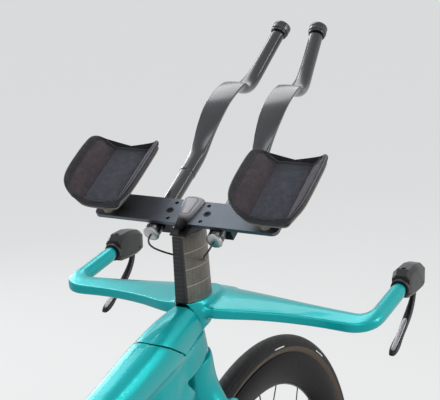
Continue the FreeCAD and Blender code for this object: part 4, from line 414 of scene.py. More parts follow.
def knit_cloth(name):
    """Knitted pad cover: charcoal floor with painted shade on its loops, warmer wings, dark bound rim and a sewn
    line inside it.
    """
    look = Look(name, Sheen_Weight=0.25, Sheen_Roughness=0.5, Sheen_Tint=(0.72, 0.72, 0.82, 1.0))
    height, painted_shade = knit(look.tree, 900.0)
    rim = add(look.tree, "Attribute", "Fac", attribute_name="rim")
    wing_share = add(look.tree, "Attribute", "Fac", attribute_name="wing")
    base = colours().cloth
    panel = wing_share.mix(base, scaled(base, 1.55, 1.02, 0.90))
    # Painted shade: each loop's crown lit and the cloth between the loops darkened, multiplied into the panel
    # colour
    loops = painted_shade.spread(0.0, 1.0, 0.30, 1.9)
    lit = add(look.tree, "Mix", 2, inputs={0: 1.0, 6: panel, 7: loops}, data_type="RGBA", blend_type="MULTIPLY")
    # Soft patches where the painted shade of the loops is weaker
    patchy_shaded_cloth = speckle(look.tree, 26.0, 0.0, 0.35).mix(lit, panel)
    edged = rim.spread(0.56, 0.62, 0.0, 1.0).mix(patchy_shaded_cloth, (0.014, 0.014, 0.017))
    piped = rim.line(0.95, 0.012, 0.022).mix(edged, (0.13, 0.135, 0.155))
    seam = rim.line(0.52, 0.03, 0.06)
    look.colour((seam * 0.85).mix(piped, (0.004, 0.004, 0.005)))
    look.rough(120.0, 0.75, 0.95)
    look.bump(height - seam * 3.0, 0.22 * MM)
    return look.material


def smooth_hide(name):
    """Saddle cover with a close grain, painted lighter on its crowns and darker between them as light and shade.
    """
    look = Look(name, Sheen_Weight=0.1)
    height, painted_shade = knit(look.tree, 420.0)
    # Painted shade: the grain's crowns lighter, the hollows between them darker
    look.colour(painted_shade.mix((0.008, 0.008, 0.009), (0.022, 0.022, 0.024)))
    look.rough(50.0, 0.42, 0.58)
    look.bump(height, 0.12 * MM)
    return look.material


# Pale dashes on the tyre's wall: where they are round the wheel, half their angle, and their radius
DASH_TURNS, DASH_HALF, DASH_RADIUS = (0.137, 0.619), 0.048, 0.3290


def tyre_rubber(name, axle):
    """Tread with a brown ribbed band at the rim and plain pale dashes on the walls."""
    look = Look(name, Specular_IOR_Level=0.14)
    radius, turn = wheel(look.tree, axle)
    band = radius.spread(0.3252, 0.3264, 1.0, 0.0)
    rib = turn.waves(520.0).spread(-0.3, 0.3, 0.0, 1.0)
    brown = rib.mix((0.030, 0.022, 0.016), (0.120, 0.090, 0.064))
    grain = speckle(look.tree, 500.0)
    base = colours().rubber
    tread = (grain * 0.5).mix(base, scaled(base, 1.9, 1.9, 1.95))
    first, second = (abs(turn - middle) for middle in DASH_TURNS)
    near_dash = first.math("MINIMUM", second).math("LESS_THAN", DASH_HALF)
    dash = radius.line(DASH_RADIUS, 0.8 * MM, 1.0 * MM) * near_dash
    look.colour(dash.mix(band.mix(tread, brown), (0.70, 0.70, 0.68)))
    look.rough(160.0, 0.46, 0.60)
    look.bump(grain * 0.25 + band * rib, 0.18 * MM)
    return look.material


def brushed_steel(name, base, axle=None):
    """Steel with fine lines: round an axle, or along the bike."""
    look = Look(name, Metallic=1.0)
    if axle is None:
        drawn = add(look.tree, "Mapping", "Vector", inputs={"Vector": look.place(), "Scale": (60.0, 900.0, 900.0)})
    else:
        drawn = add(look.tree, "CombineXYZ", "Vector", inputs={"X": wheel(look.tree, axle)[0] * 2400.0})
    lines = add(look.tree, "TexNoise", "Fac", inputs={"Vector": drawn, "Scale": 1.0, "Detail": 2.0})
    look.colour(lines.mix(scaled(base, 0.7), base))
    look.feed("Roughness", lines.spread(0.3, 0.7, 0.24, 0.42))
    look.bump(lines, 0.02 * MM)
    return look.material


FINISHES = {
    "Celeste Paint": (pearl_paint,),
    "Dark Polish": (polished_dark,),
    "Gloss Black": (gloss_black,),
    "Tower Carbon": (tower_carbon,),
    "Cap Silver": (cap_silver,),
    "Cup Ribs": (cup_ribs,),
    "Satin Alloy": (lambda name: satin_metal(name, colours().alloy, 0.34, 0.44),),
    "Black Alloy": (satin_metal, (0.035, 0.035, 0.038), 0.34, 0.48),
    "Plug Silver": (satin_metal, (0.47, 0.47, 0.47), 0.30, 0.40),
    "Lever Silver": (satin_metal, (0.34, 0.34, 0.36), 0.34, 0.44),
    "Bright Steel": (brushed_steel, (0.58, 0.58, 0.60)),
    "Black Steel": (brushed_steel, (0.03, 0.03, 0.032)),
    "Front Rotor Steel": (brushed_steel, (0.52, 0.52, 0.54), FRONT_AXLE),
    "Rear Rotor Steel": (brushed_steel, (0.52, 0.52, 0.54), REAR_AXLE),
    "Hood Plastic": (moulded_plastic, (0.026, 0.026, 0.028), 0.34, 0.3),
    "Black Plastic": (moulded_plastic, (0.014, 0.014, 0.015), 0.40),
    "Button Plastic": (moulded_plastic, (0.10, 0.10, 0.105), 0.5),
    "Knit Cloth": (knit_cloth,),
    "Saddle Hide": (smooth_hide,),
    "Front Tyre": (tyre_rubber, FRONT_AXLE),
    "Rear Tyre": (tyre_rubber, REAR_AXLE),
}

# Material slot and finish of pieces that share them
PAINT = ("celeste_paint", "Celeste Paint")
BRIGHT = ("bright_steel", "Bright Steel")
DARK_STEEL = ("black_steel", "Black Steel")
DARK_ALLOY = ("black_alloy", "Black Alloy")
ANODISED = ("satin_alloy", "Black Alloy")
SATIN = ("satin_alloy", "Satin Alloy")
TOWER_DARK = ("satin_carbon", "Black Alloy")
LACQUER = ("black_gloss", "Gloss Black")
PLASTIC = ("dark_plastic", "Black Plastic")


def finish(name):
    """One of the bike's finishes, made when it is first asked for."""
    if name in bpy.data.materials:
        return bpy.data.materials[name]
    maker, *values = FINISHES[name]
    return maker(name, *values)


# Meshes

def mesh_of(bm, name):
    """New mesh from a bmesh, which is freed."""
    mesh = bpy.data.meshes.new(name)
    bm.to_mesh(mesh)
    bm.free()
    return mesh


def linked(name, data):
    """New object in the scene."""
    obj = bpy.data.objects.new(name, data)
    bpy.context.scene.collection.objects.link(obj)
    return obj


def signed_power(value, power):
    return math.copysign(abs(value) ** (2.0 / power), value)


def smoothed(low, high, share):
    """Value between two, eased at both ends."""
    return low + (high - low) * share * share * (3 - 2 * share)


def mirrored(vector, hand):
    return Vector((vector.x, vector.y * hand, vector.z))


def edges_of(verts):
    """Edges whose two ends are both among the verts, in a steady order."""
    kept = set(verts)
    joining = [edge for vert in verts for edge in vert.link_edges if edge.other_vert(vert) in kept]
    return list(dict.fromkeys(joining))


def loop_of(bm, count):
    """Verts of a new closed loop."""
    return bmesh.ops.create_circle(bm, cap_ends=False, radius=1.0, segments=count)["verts"]


def oval_ring(bm, centre, across, along, half_across, half_along, power, count=24):
    """Closed superellipse in the plane of two directions."""
    verts = loop_of(bm, count)
    for vert in verts:
        step = across * (half_across * signed_power(vert.co.x, power))
        vert.co = centre + step + along * (half_along * signed_power(vert.co.y, power))
    return verts


def traced_ring(bm, points):
    """Closed ring through given points."""
    verts = loop_of(bm, len(points))
    for vert, point in zip(verts, points):
        vert.co = point
    return verts


def bridged(bm, rings):
    """Skin over rings in order, with both ends filled."""
    for one, two in zip(rings, rings[1:]):
        bmesh.ops.bridge_loops(bm, edges=edges_of(one) + edges_of(two))
    for end in (rings[0], rings[-1]):
        bmesh.ops.contextual_create(bm, geom=edges_of(end))


def creased(bm, layer, one, two, index, amount):
    """Hardens the run between two rings at one of their points."""
    edge = bm.edges.get((one[index], two[index]))
    if edge is not None:
        edge[layer] = amount


def shown(name, bm, body, look, replaced=(), sharp=None, levels=0):
    """Finished object from a bmesh, riding on its body; look is a slot name, which is not used, and its finish."""
    bmesh.ops.recalc_face_normals(bm, faces=bm.faces)
    mesh = mesh_of(bm, name)
    mesh.polygons.foreach_set("use_smooth", [True] * len(mesh.polygons))
    if sharp is not None:
        mesh.set_sharp_from_angle(angle=math.radians(sharp))
    obj = linked(name, mesh)
    slot, material = look
    mesh.materials.append(finish(material))
    if levels:
        smooth = obj.modifiers.new("Smooth", "SUBSURF")
        smooth.levels = levels
        smooth.render_levels = levels
    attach(obj, body)
    if replaced:
        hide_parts(*replaced)
    return obj


def copy_of(node):
    """Merged copy of a CAD node."""
    bm = bmesh.new()
    bm.from_mesh(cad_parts[node].data)
    bmesh.ops.remove_doubles(bm, verts=bm.verts, dist=0.002 * MM)
    return bm


FLAT_ANGLE, HARD_ANGLE, SHARP_ANGLE = 0.4, 34.0, 38.0


def eased(node, body, look, ease=None, name=None):
    """CAD piece with its hard edges rounded by some millimetres, or not at all for nought."""
    bm = copy_of(node)
    bmesh.ops.dissolve_limit(bm, angle_limit=math.radians(FLAT_ANGLE), verts=bm.verts, edges=bm.edges)
    width = sizes().edge_ease if ease is None else ease * MM
    if width:
        limit = math.radians(HARD_ANGLE)
        hard = [edge for edge in bm.edges if edge.is_manifold and edge.calc_face_angle(0.0) > limit]
        bmesh.ops.bevel(bm, geom=hard, offset=width, offset_type="OFFSET", segments=2, profile=0.5,
                        affect="EDGES", clamp_overlap=True, material=-1)
    obj = shown(name or node + "_eased", bm, body, look, (node,), sharp=SHARP_ANGLE)
    obj.modifiers.new("Even", "WEIGHTED_NORMAL").keep_sharp = True
    return obj


def applied(bm, kind, **settings):
    """The form that a modifier makes of a mesh."""
    mesh = mesh_of(bm, "work")
    obj = linked("work", mesh)
    modifier = obj.modifiers.new("Work", kind)
    for name, value in settings.items():
        setattr(modifier, name, value)
    evaluated = obj.evaluated_get(bpy.context.evaluated_depsgraph_get())
    result = bmesh.new()
    result.from_mesh(evaluated.to_mesh())
    evaluated.to_mesh_clear()
    bpy.data.objects.remove(obj)
    bpy.data.meshes.remove(mesh)
    return result


def remeshed(bm, voxel):
    """The same closed form in even cells."""
    return applied(bm, "REMESH", mode="VOXEL", voxel_size=voxel, adaptivity=0.0)


def rounded(bm, levels):
    """The smooth form inside a cage."""
    return applied(bm, "SUBSURF", levels=levels, render_levels=levels)


def soften(bm, verts):
    """Moves verts half way to the middle of their neighbours."""
    bmesh.ops.smooth_vert(bm, verts=verts, factor=0.5, use_axis_x=True, use_axis_y=True, use_axis_z=True)


def relaxed(bm, passes, chosen=None):
    """Smooths a form; chosen picks the places that flow into each other."""
    verts = [vert for vert in bm.verts if chosen is None or chosen(vert.co)]
    for _ in range(passes):
        soften(bm, verts)


def filleted(bm, passes, chosen):
    """Fills hollow corners, as a moulded joint does, and leaves the crests."""
    verts = [vert for vert in bm.verts if chosen(vert.co)]
    for _ in range(passes):
        bm.normal_update()
        hollow = []
        for vert in verts:
            around = Vector()
            for edge in vert.link_edges:
                around += edge.other_vert(vert).co
            if (around / len(vert.link_edges) - vert.co).dot(vert.normal) > 0.0:
                hollow.append(vert)
        soften(bm, hollow)


def capped(bm, place, outward):
    """Cuts away what lies beyond a plane and closes the cut."""
    bmesh.ops.bisect_plane(bm, geom=bm.verts[:] + bm.edges[:] + bm.faces[:], plane_co=place, plane_no=outward,
                           clear_outer=True)
    bmesh.ops.holes_fill(bm, edges=[edge for edge in bm.edges if edge.is_boundary], sides=0)


def turned_about(bm, start, heading, outline, steps=40, across=None):
    """Ring or drum round a line from an outline of way along it and radius in millimetres."""
    across = across or heading.orthogonal().normalized()
    verts = traced_ring(bm, [start + (heading * way + across * radius) * MM for way, radius in outline])
    bmesh.ops.spin(bm, geom=verts + edges_of(verts), cent=start, axis=heading, angle=2 * math.pi, steps=steps,
                   use_merge=True)


# Painted pieces

# Web in the corner behind the head: reach, rise, half width, half height and hollow of its edge
WEB_ROWS = ((252, 728, 19.0, 20.0, 0), (232, 719, 20.5, 28.0, 0), (211, 711, 20.0, 35.0, 2),
            (191, 701, 18.0, 43.0, 8), (174, 694, 13.5, 47.0, 17), (160, 687, 8.0, 47.0, 25))
WEB_POWER = 4.0
COVER_VOXEL, COVER_INSET = 1.2 * MM, 0.6 * MM
FORK_VOXEL = 1.8 * MM
# Passes that fill hollow corners, and places in metres that keep their edges or bound the fork's crown
FRAME_FILLET, FORK_FILLET = 26, 24
DROPOUT_RISE, DROPOUT_REACH, BORE_ROOM, HEAD_RISE = 0.36, -0.40, 0.05, 0.748
CROWN_LOW, CROWN_HIGH = 0.40, 0.72


class BIKE_OT_frame(bpy.types.Operator):
    """Moulded frame, fork and head cover in pearl paint"""
    bl_idname = "bike.frame"
    bl_label = "Frame and Fork"

    def execute(self, context):
        def tube_joints(point):
            dropouts = point.z < DROPOUT_RISE and point.x < DROPOUT_REACH
            crank_bore = (point - CRANK_MIDDLE).length < BORE_ROOM
            return not (dropouts or crank_bore or point.z > HEAD_RISE)

        bm = copy_of("frame")
        rings = []
        for reach, rise, wide, tall, hollow in WEB_ROWS:
            rings.append(oval_ring(bm, mm(reach, 0, rise), SIDE, UP, wide * MM, tall * MM, WEB_POWER))
            for vert in rings[-1]:
                share = (vert.co.z / MM - rise) / tall
                vert.co.x += hollow * (1 - share * share) * MM
        bridged(bm, rings)
        bm = remeshed(bm, sizes().paint_voxel)
        relaxed(bm, 2)
        filleted(bm, FRAME_FILLET, tube_joints)
        shown("frame_body", bm, "frame", PAINT, ("frame",))
        bm = remeshed(copy_of("head_cover"), COVER_VOXEL)
        relaxed(bm, 2)
        bm.normal_update()
        for vert in bm.verts:
            vert.co -= vert.normal * COVER_INSET
        shown("cover_body", bm, "steering", PAINT, ("head_cover",))
        bm = remeshed(copy_of("fork"), FORK_VOXEL)
        relaxed(bm, 2)
        filleted(bm, FORK_FILLET, lambda point: CROWN_LOW < point.z < CROWN_HIGH)
        shown("fork_body", bm, "steering", PAINT, ("fork",))
        return {"FINISHED"}


# Sections of the wing: side, rear, front, rise and half thickness
WING_ROWS = ((-4, -9.2, 92.0, 25.0, 13.0), (18, -8.0, 91.8, 24.6, 12.7), (36, -4.6, 91.4, 23.9, 12.3),
             (58, 5.0, 90.4, 22.7, 11.6), (80, 15.6, 89.2, 21.3, 10.9), (101, 23.2, 87.8, 19.9, 10.5),
             (121, 29.4, 86.5, 18.5, 10.2), (142, 34.6, 85.4, 17.0, 10.1), (161, 38.4, 84.6, 15.6, 10.1),
             (180, 40.8, 84.0, 14.3, 10.3))
# Outline of the wing from its blunt tail round the nose: share of the chord and of the half thickness
WING_OUTLINE = ((0.0, 0.46), (0.06, 0.55), (0.22, 0.70), (0.42, 0.90), (0.60, 1.0), (0.78, 0.86), (0.93, 0.50),
                (1.0, 0.0), (0.93, -0.50), (0.78, -0.86), (0.60, -1.0), (0.42, -0.96), (0.22, -0.86),
                (0.06, -0.72), (0.0, -0.58), (0.0, -0.06))
WING_CREASES = ((0, 0.95), (14, 0.8))
# Bend into the grip: its middle, its turns, and its radii, rise and half thickness at the start and the end
BEND_REACH, BEND_SIDE = 92.0, 199.5
BEND_TURNS = (0, 15, 30, 45, 60, 75, 90)
BEND_OUTER, BEND_INNER, BEND_RISE, BEND_THICK = (50.0, 33.1), (8.3, 10.9), (13.0, 17.4), (10.5, 11.1)
GRIP_REACHES, GRIP_SLOPE, GRIP_RADIUS = (100, 125, 150, 172.5), 0.15, 11.1
# The CAD core ends where the wing takes over; its roots are filled and the tail behind it is evened out
CORE_SIDE = 24
BAR_VOXEL, BAR_FILLET, TAIL_PASSES = 1.3 * MM, 80, 36
ROOT_SIDE, ROOT_REACH = 0.06, 0.28
TAIL_SIDE, TAIL_REACH, TAIL_LOW, TAIL_HIGH = 0.034, 0.345, 0.784, 0.8125


def wing_rows():
    """Start, chord, half thickness and bluntness of each section from the stem to the grip's end."""
    rows = []
    for side, rear, front, rise, thick in WING_ROWS:
        rows.append((mm(rear, side, rise), mm(front - rear, 0, 0), thick, 1.0))
    for turn in BEND_TURNS:
        share = turn / 90
        way = Vector((-math.cos(math.radians(turn)), math.sin(math.radians(turn)), 0.0))
        outer, inner, rise, thick = (smoothed(*ends, share)
                                     for ends in (BEND_OUTER, BEND_INNER, BEND_RISE, BEND_THICK))
        start = mm(BEND_REACH, BEND_SIDE, rise) + way * (outer * MM)
        rows.append((start, way * ((inner - outer) * MM), thick, 1 - smoothed(0, 1, share)))
    for reach in GRIP_REACHES:
        start = mm(reach, BEND_SIDE + BEND_OUTER[1], BEND_RISE[1] + (reach - BEND_REACH) * GRIP_SLOPE)
        rows.append((start, mm(0, -2 * GRIP_RADIUS, 0), GRIP_RADIUS, 0.0))
    return rows


def wing(hand):
    """Half of the wing with its blunt tail, bent into a grip."""
    rows = wing_rows()
    bm = bmesh.new()
    crease = bm.edges.layers.float.new("crease_edge")
    rings = []
    for start, chord, thick, blunt in rows:
        points = []
        for share, lift in WING_OUTLINE:
            turn = math.atan2(lift, 2 * share - 1)
            round_share = (math.cos(turn) + 1) / 2
            point = start + chord * (share * blunt + round_share * (1 - blunt))
            point += UP * (thick * MM * (lift * blunt + math.sin(turn) * (1 - blunt)))
            points.append(STEM_FOOT + mirrored(point, hand))
        rings.append(traced_ring(bm, points))
    bridged(bm, rings)
    for one, two, row, other in zip(rings, rings[1:], rows, rows[1:]):
        for index, hard in WING_CREASES:
            creased(bm, crease, one, two, index, hard * min(row[3], other[3]))
    bmesh.ops.recalc_face_normals(bm, faces=bm.faces)
    return rounded(bm, 3)


class BIKE_OT_base_bar(bpy.types.Operator):
    """Wing base bar with its stem and round grips"""
    bl_idname = "bike.base_bar"
    bl_label = "Base Bar"

    def execute(self, context):
        def roots(point):
            return abs(point.y) < ROOT_SIDE and point.x > ROOT_REACH

        def tail(point):
            return abs(point.y) < TAIL_SIDE and point.x < TAIL_REACH and TAIL_LOW < point.z < TAIL_HIGH

        bm = copy_of("base_bar")
        for hand, _ in HANDS:
            capped(bm, mm(0, CORE_SIDE * hand, 0), SIDE * hand)
        for hand, _ in HANDS:
            half = mesh_of(wing(hand), "half")
            bm.from_mesh(half)
            bpy.data.meshes.remove(half)
        bm = remeshed(bm, BAR_VOXEL)
        relaxed(bm, 1)
        filleted(bm, BAR_FILLET, roots)
        relaxed(bm, TAIL_PASSES, tail)
        relaxed(bm, 1)
        shown("bar_body", bm, "steering", PAINT, ("base_bar",))
        return {"FINISHED"}


FOOT_HEIGHT = 6 * MM
FOOT_STEP = mm(0.6, 0, -5.6)


class BIKE_OT_tower(bpy.types.Operator):
    """Riser tower, tilt head and bridge plate with its cap and bolts"""
    bl_idname = "bike.tower"
    bl_label = "Tower and Plate"

    def execute(self, context):
        eased("riser_spacers", "steering", ("satin_carbon", "Tower Carbon"), 0.35)
        foot = copy_of("riser_spacers")
        level = min(vert.co.z for vert in foot.verts)
        capped(foot, UP * (level + FOOT_HEIGHT), UP)
        bmesh.ops.translate(foot, verts=foot.verts, vec=FOOT_STEP)
        shown("tower_foot", foot, "steering", TOWER_DARK, sharp=SHARP_ANGLE)
        eased("tower_head", "steering", TOWER_DARK)
        eased("bridge_plate", "steering", SATIN, 0.6)
        eased("centre_cap", "steering", ("satin_alloy", "Cap Silver"), 1.0)
        eased("bridge_bolts", "steering", DARK_STEEL, 0.3)
        eased("extension_clamps", "steering", DARK_ALLOY)
        return {"FINISHED"}


# Sections of an extension: along, side, off, half width, half depth, pitch, and how flat the top is
EXTENSION_ROWS = (
    (-28, 45.0, -16.0, 11.0, 11.0, 0, 0.0), (60, 45.0, -16.0, 11.0, 11.0, 0, 0.0),
    (83.6, 45.0, -16.0, 11.0, 11.0, 0, 0.0), (84, 45.0, -16.0, 11.6, 11.6, 0, 0.0),
    (88, 45.0, -16.0, 11.7, 11.7, 0, 0.0), (108, 45.0, -16.0, 11.8, 11.7, 0, 0.0),
    (125.5, 44.7, -14.5, 12.2, 11.4, 8, 0.25), (146, 44.2, -6.5, 13.4, 10.6, 20, 0.65),
    (163, 43.8, -1.2, 15.0, 9.7, 20, 0.9), (180, 43.4, 3.2, 16.6, 8.8, 17, 1.0),
    (196, 43.1, 6.2, 17.4, 8.0, 11, 1.0), (209, 42.8, 7.4, 17.6, 7.6, 3, 1.0),
    (230, 42.2, 5.6, 17.4, 7.4, -9, 1.0), (246, 41.8, 2.0, 16.8, 7.6, -14, 1.0),
    (255, 41.5, -3.1, 16.0, 9.9, -16, 1.0), (258.5, 41.4, -8.5, 15.4, 8.5, -20, 1.0),
    (263, 41.3, -14.4, 14.8, 7.6, -22, 1.0), (272, 41.0, -20.8, 13.8, 9.2, -20, 0.6),
    (284, 40.4, -24.5, 12.8, 11.0, -12, 0.25), (296.3, 39.7, -25.6, 11.8, 11.0, -2, 0.0),
    (315.3, 37.5, -23.5, 10.6, 10.4, 10, 0.0), (350, 34.0, -17.5, 10.2, 10.2, 10, 0.0),
    (386.9, 30.1, -11.0, 10.2, 10.2, 10, 0.0))
# Flat-topped section: share of the half width and of the half depth
RIBBON = ((1.0, 0.56), (0.66, 0.63), (0.22, 0.67), (-0.22, 0.67), (-0.66, 0.63), (-1.0, 0.56), (-0.985, 0.16),
          (-0.80, -0.42), (-0.44, -0.86), (0.0, -1.0), (0.44, -0.86), (0.80, -0.42), (0.985, 0.16))
RIBBON_EDGES = (0, 5)
# Rows with a hard edge all round: both ends and the step of the barrel; then the row of the crest
EXTENSION_STEPS, EXTENSION_CREST = (0, 2, 3, -1), 14
STEP_CREASE, CREST_CREASE = 0.85, 0.9
EXTENSION_END = mm(649.06, 30.12, 1110.72)
EXTENSION_HEADING = Vector((0.763132, -0.100828, 0.638328))
# Turned pieces: way along the line and radius
COLLAR_OUTLINE = ((0.05, 7.2), (0.05, 11.2), (0.5, 12.0), (2.4, 12.2), (2.8, 11.7), (3.6, 11.7), (4.0, 12.6),
                  (4.6, 13.0), (9.4, 13.0), (9.9, 12.4), (10.7, 12.4), (11.2, 13.0), (14.6, 13.0), (15.5, 12.6),
                  (16.0, 11.8), (16.0, 7.2))
PLUG_OUTLINE = ((0.0, 1.5), (0.0, 10.9), (0.4, 11.0), (1.6, 11.0), (2.0, 10.5), (2.6, 10.5), (3.4, 9.7),
                (4.3, 8.0), (4.8, 5.6), (5.0, 3.2), (5.0, 1.5))
PLUG_START = -28.05


def extension(hand):
    """One extension: round barrel, flat-topped S-bend with crisp edges, round grip."""
    bm = bmesh.new()
    crease = bm.edges.layers.float.new("crease_edge")
    rings = []
    for along, side, off, wide, deep, pitch, flat in EXTENSION_ROWS:
        lean = math.radians(pitch)
        rise = PLATE_UP * math.cos(lean) - PLATE_AHEAD * math.sin(lean)
        points = []
        for across, lift in RIBBON:
            turn = math.atan2(lift, across)
            across_mixed = math.cos(turn) * (1 - flat) + across * flat
            lift_mixed = math.sin(turn) * (1 - flat) + lift * flat
            step = SIDE * (across_mixed * wide) + rise * (lift_mixed * deep)
            points.append(on_plate(along, side * hand, off) + step * MM)
        rings.append(traced_ring(bm, points))
    bridged(bm, rings)
    for one, two, row, other in zip(rings, rings[1:], EXTENSION_ROWS, EXTENSION_ROWS[1:]):
        for index in RIBBON_EDGES:
            creased(bm, crease, one, two, index, min(row[-1], other[-1]))
    for index in EXTENSION_STEPS:
        for edge in edges_of(rings[index]):
            edge[crease] = STEP_CREASE
    for edge in edges_of(rings[EXTENSION_CREST][:RIBBON_EDGES[1] + 1]):
        edge[crease] = CREST_CREASE
    return bm


WIRE_RADIUS = 1.25 * MM


class BIKE_OT_wires(bpy.types.Operator):
    """Thin shift wires from the extensions into the tower"""
    bl_idname = "bike.wires"
    bl_label = "Shift Wires"

    def execute(self, context):
        for hand, word in HANDS:
            side = EXTENSION_SIDE * hand
            route = (on_plate(-33.3, side, EXTENSION_OFF), on_plate(-48.3, side, EXTENSION_OFF),
                     cockpit(-12, 26 * hand, 98), cockpit(14, 16.5 * hand, 88))
            curve = bpy.data.curves.new(word + "_shift_wire", "CURVE")
            curve.dimensions = "3D"
            curve.bevel_depth = WIRE_RADIUS
            curve.bevel_resolution = 3
            curve.resolution_u = 16
            curve.use_fill_caps = True
            spline = curve.splines.new("NURBS")
            spline.points.add(len(route) - 1)
            for point, place in zip(spline.points, route):
                point.co = (*place, 1.0)
            spline.order_u = 3
            spline.use_endpoint_u = True
            wire = linked(word + "_shift_wire", curve)
            curve.materials.append(finish("Black Plastic"))
            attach(wire, "steering")
            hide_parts("shift_wires")
        return {"FINISHED"}


class BIKE_OT_extensions(bpy.types.Operator):
    """Polished extensions with their ringed end collars, buttons and plugs"""
    bl_idname = "bike.extensions"
    bl_label = "Extensions"

    def execute(self, context):
        collars = bmesh.new()
        plugs = bmesh.new()
        for hand, word in HANDS:
            shown(word + "_extension_tube", extension(hand), "steering", ("black_gloss", "Dark Polish"),
                  (word + "_extension",), levels=3)
            turned_about(collars, mirrored(EXTENSION_END, hand), mirrored(EXTENSION_HEADING, hand), COLLAR_OUTLINE)
            eased(word + "_shift_button", word + "_button", ("button_grey", "Button Plastic"), 0.4)
            turned_about(plugs, on_plate(PLUG_START, EXTENSION_SIDE * hand, EXTENSION_OFF), -PLATE_AHEAD,
                         PLUG_OUTLINE)
        shown("collar_rings", collars, "steering", ("dark_plastic", "Dark Polish"), ("shifter_collars",), sharp=32)
        shown("plug_domes", plugs, "steering", ("dark_plastic", "Plug Silver"), ("extension_plugs",), sharp=40)
        return {"FINISHED"}


# Soft pieces

CLOTH_FRAMES = 20


def blown_up(mesh, sewn):
    """Places of a closed cloth's points after air has filled it, with the sewn ones held."""
    obj = linked("foam", mesh)
    cloth = obj.modifiers.new("Cloth", "CLOTH")
    cloth.settings.use_pressure = True
    cloth.settings.uniform_pressure_force = 4.0
    cloth.settings.effector_weights.gravity = 0.0
    cloth.settings.quality = 4
    cloth.point_cache.frame_start = 1
    cloth.point_cache.frame_end = CLOTH_FRAMES
    if sewn is not None:
        held = obj.vertex_groups.new(name="sewn")
        held.add([index for index in range(len(mesh.vertices)) if sewn(index, mesh)], 1.0, "REPLACE")
        cloth.settings.vertex_group_mass = "sewn"
    for step in range(1, CLOTH_FRAMES + 1):
        bpy.context.scene.frame_set(step)
    evaluated = obj.evaluated_get(bpy.context.evaluated_depsgraph_get())
    places = [vert.co.copy() for vert in evaluated.data.vertices]
    bpy.context.scene.frame_set(1)
    bpy.data.objects.remove(obj)
    return places


def swollen(bm, swell, sewn=None):
    """Foam under cloth: blown up a little, held where it is sewn and to a limit elsewhere."""
    mesh = mesh_of(bm, "foam")
    start = [vert.co.copy() for vert in mesh.vertices]
    moved = blown_up(mesh, sewn)
    result = bmesh.new()
    result.from_mesh(mesh)
    bpy.data.meshes.remove(mesh)
    for vert, before, after in zip(result.verts, start, moved):
        step = after - before
        if step.length > swell:
            step = step * (swell / step.length)
        vert.co = before + step
    return result


# Arm pad section: side and lift as shares, then how much of rim, wing and seam each point has
PAD_TOP = ((1.054, 0.97, 1.0, 1, 0), (0.994, 1.066, 0.92, 1, 0), (0.917, 0.98, 0.80, 1, 0),
           (0.883, 0.861, 0.66, 1, 0), (0.883, 0.756, 0.52, 1, 1), (0.83, 0.62, 0.24, 1, 0),
           (0.72, 0.36, 0.0, 1, 0), (0.58, 0.11, 0.0, 1, 0), (0.49, 0.03, 0.0, 0.8, 0),
           (0.466, -0.055, 0.0, 0.5, 1), (0.442, 0.015, 0.0, 0.2, 0), (0.23, 0.035, 0.0, 0, 0),
           (0.0, 0.042, 0.0, 0, 0))
PAD_BASE = ((1.031, 0.80, 1.0, 1, 1), (0.94, 0.52, 1.0, 1, 1), (0.76, 0.12, 1.0, 1, 1),
            (0.57, -0.20, 1.0, 1, 1), (0.36, -0.31, 1.0, 0, 1), (0.0, -0.333, 1.0, 0, 1))
# Rows along the pad: way along, width, thickness and rim share; the wings are as high as the row is wide
PAD_ROWS = ((-0.5, 0.30, 0.35, 1.0), (-0.488, 0.44, 0.75, 0.9), (-0.463, 0.60, 1.0, 0.66),
            (-0.435, 0.71, 1.0, 0.42), (-0.39, 0.84, 1.0, 0.1), (-0.29, 0.96, 1.0, 0.0), (-0.12, 1.0, 1.0, 0.0),
            (0.13, 1.0, 1.0, 0.0), (0.31, 0.98, 1.0, 0.0), (0.41, 0.93, 1.0, 0.2), (0.45, 0.84, 0.97, 0.5),
            (0.475, 0.745, 0.90, 0.72), (0.49, 0.65, 0.75, 0.9), (0.5, 0.50, 0.40, 1.0))
PAD_FOLD, PAD_FLOOR, FOLD_CREASE, SEWN_SHARE = 0.466, 0.03, 0.9, 0.62
# Middle of a pad on the plate, and its length, half width and height
PAD_ALONG, PAD_SIDE, PAD_OFF = 33.5, 119, 18.5
PAD_LENGTH, PAD_HALF, PAD_HEIGHT = 108, 52, 27


def pad_point(hand, sign, side, lift, row):
    """Place of one point of the pad's section in one of its rows."""
    along, width, thick, _ = row
    if side > PAD_FOLD:
        side = PAD_FOLD + (side - PAD_FOLD) * width
    lift = lift * width if lift > 0 else PAD_FLOOR + (lift - PAD_FLOOR) * thick
    return on_plate(PAD_ALONG + PAD_LENGTH * along, (PAD_SIDE + PAD_HALF * side * sign) * hand,
                    PAD_OFF + PAD_HEIGHT * lift)


def pad_cage(hand):
    """Cage of one arm pad, with its rim, wing and sewn shares on the points."""
    section = [(1, point) for point in PAD_TOP] + [(-1, point) for point in PAD_TOP[-2::-1]]
    section += [(-1, point) for point in PAD_BASE] + [(1, point) for point in PAD_BASE[-2::-1]]
    bm = bmesh.new()
    rim_layer, wing_layer, sewn_layer = (bm.verts.layers.float.new(name) for name in ("rim", "wing", "sewn"))
    crease = bm.edges.layers.float.new("crease_edge")
    rings = []
    for row in PAD_ROWS:
        ring = traced_ring(bm, [pad_point(hand, sign, *point[:2], row) for sign, point in section])
        for vert, (_, (_, _, rim, wing_share, sewn)) in zip(ring, section):
            vert[rim_layer] = max(rim, row[3])
            vert[wing_layer] = wing_share
            vert[sewn_layer] = sewn
        rings.append(ring)
    bridged(bm, rings)
    fold = [index for index, (_, point) in enumerate(section) if point[0] == PAD_FOLD]
    for one, two in zip(rings, rings[1:]):
        for index in fold:
            creased(bm, crease, one, two, index, FOLD_CREASE)
    bmesh.ops.recalc_face_normals(bm, faces=bm.faces)
    return bm


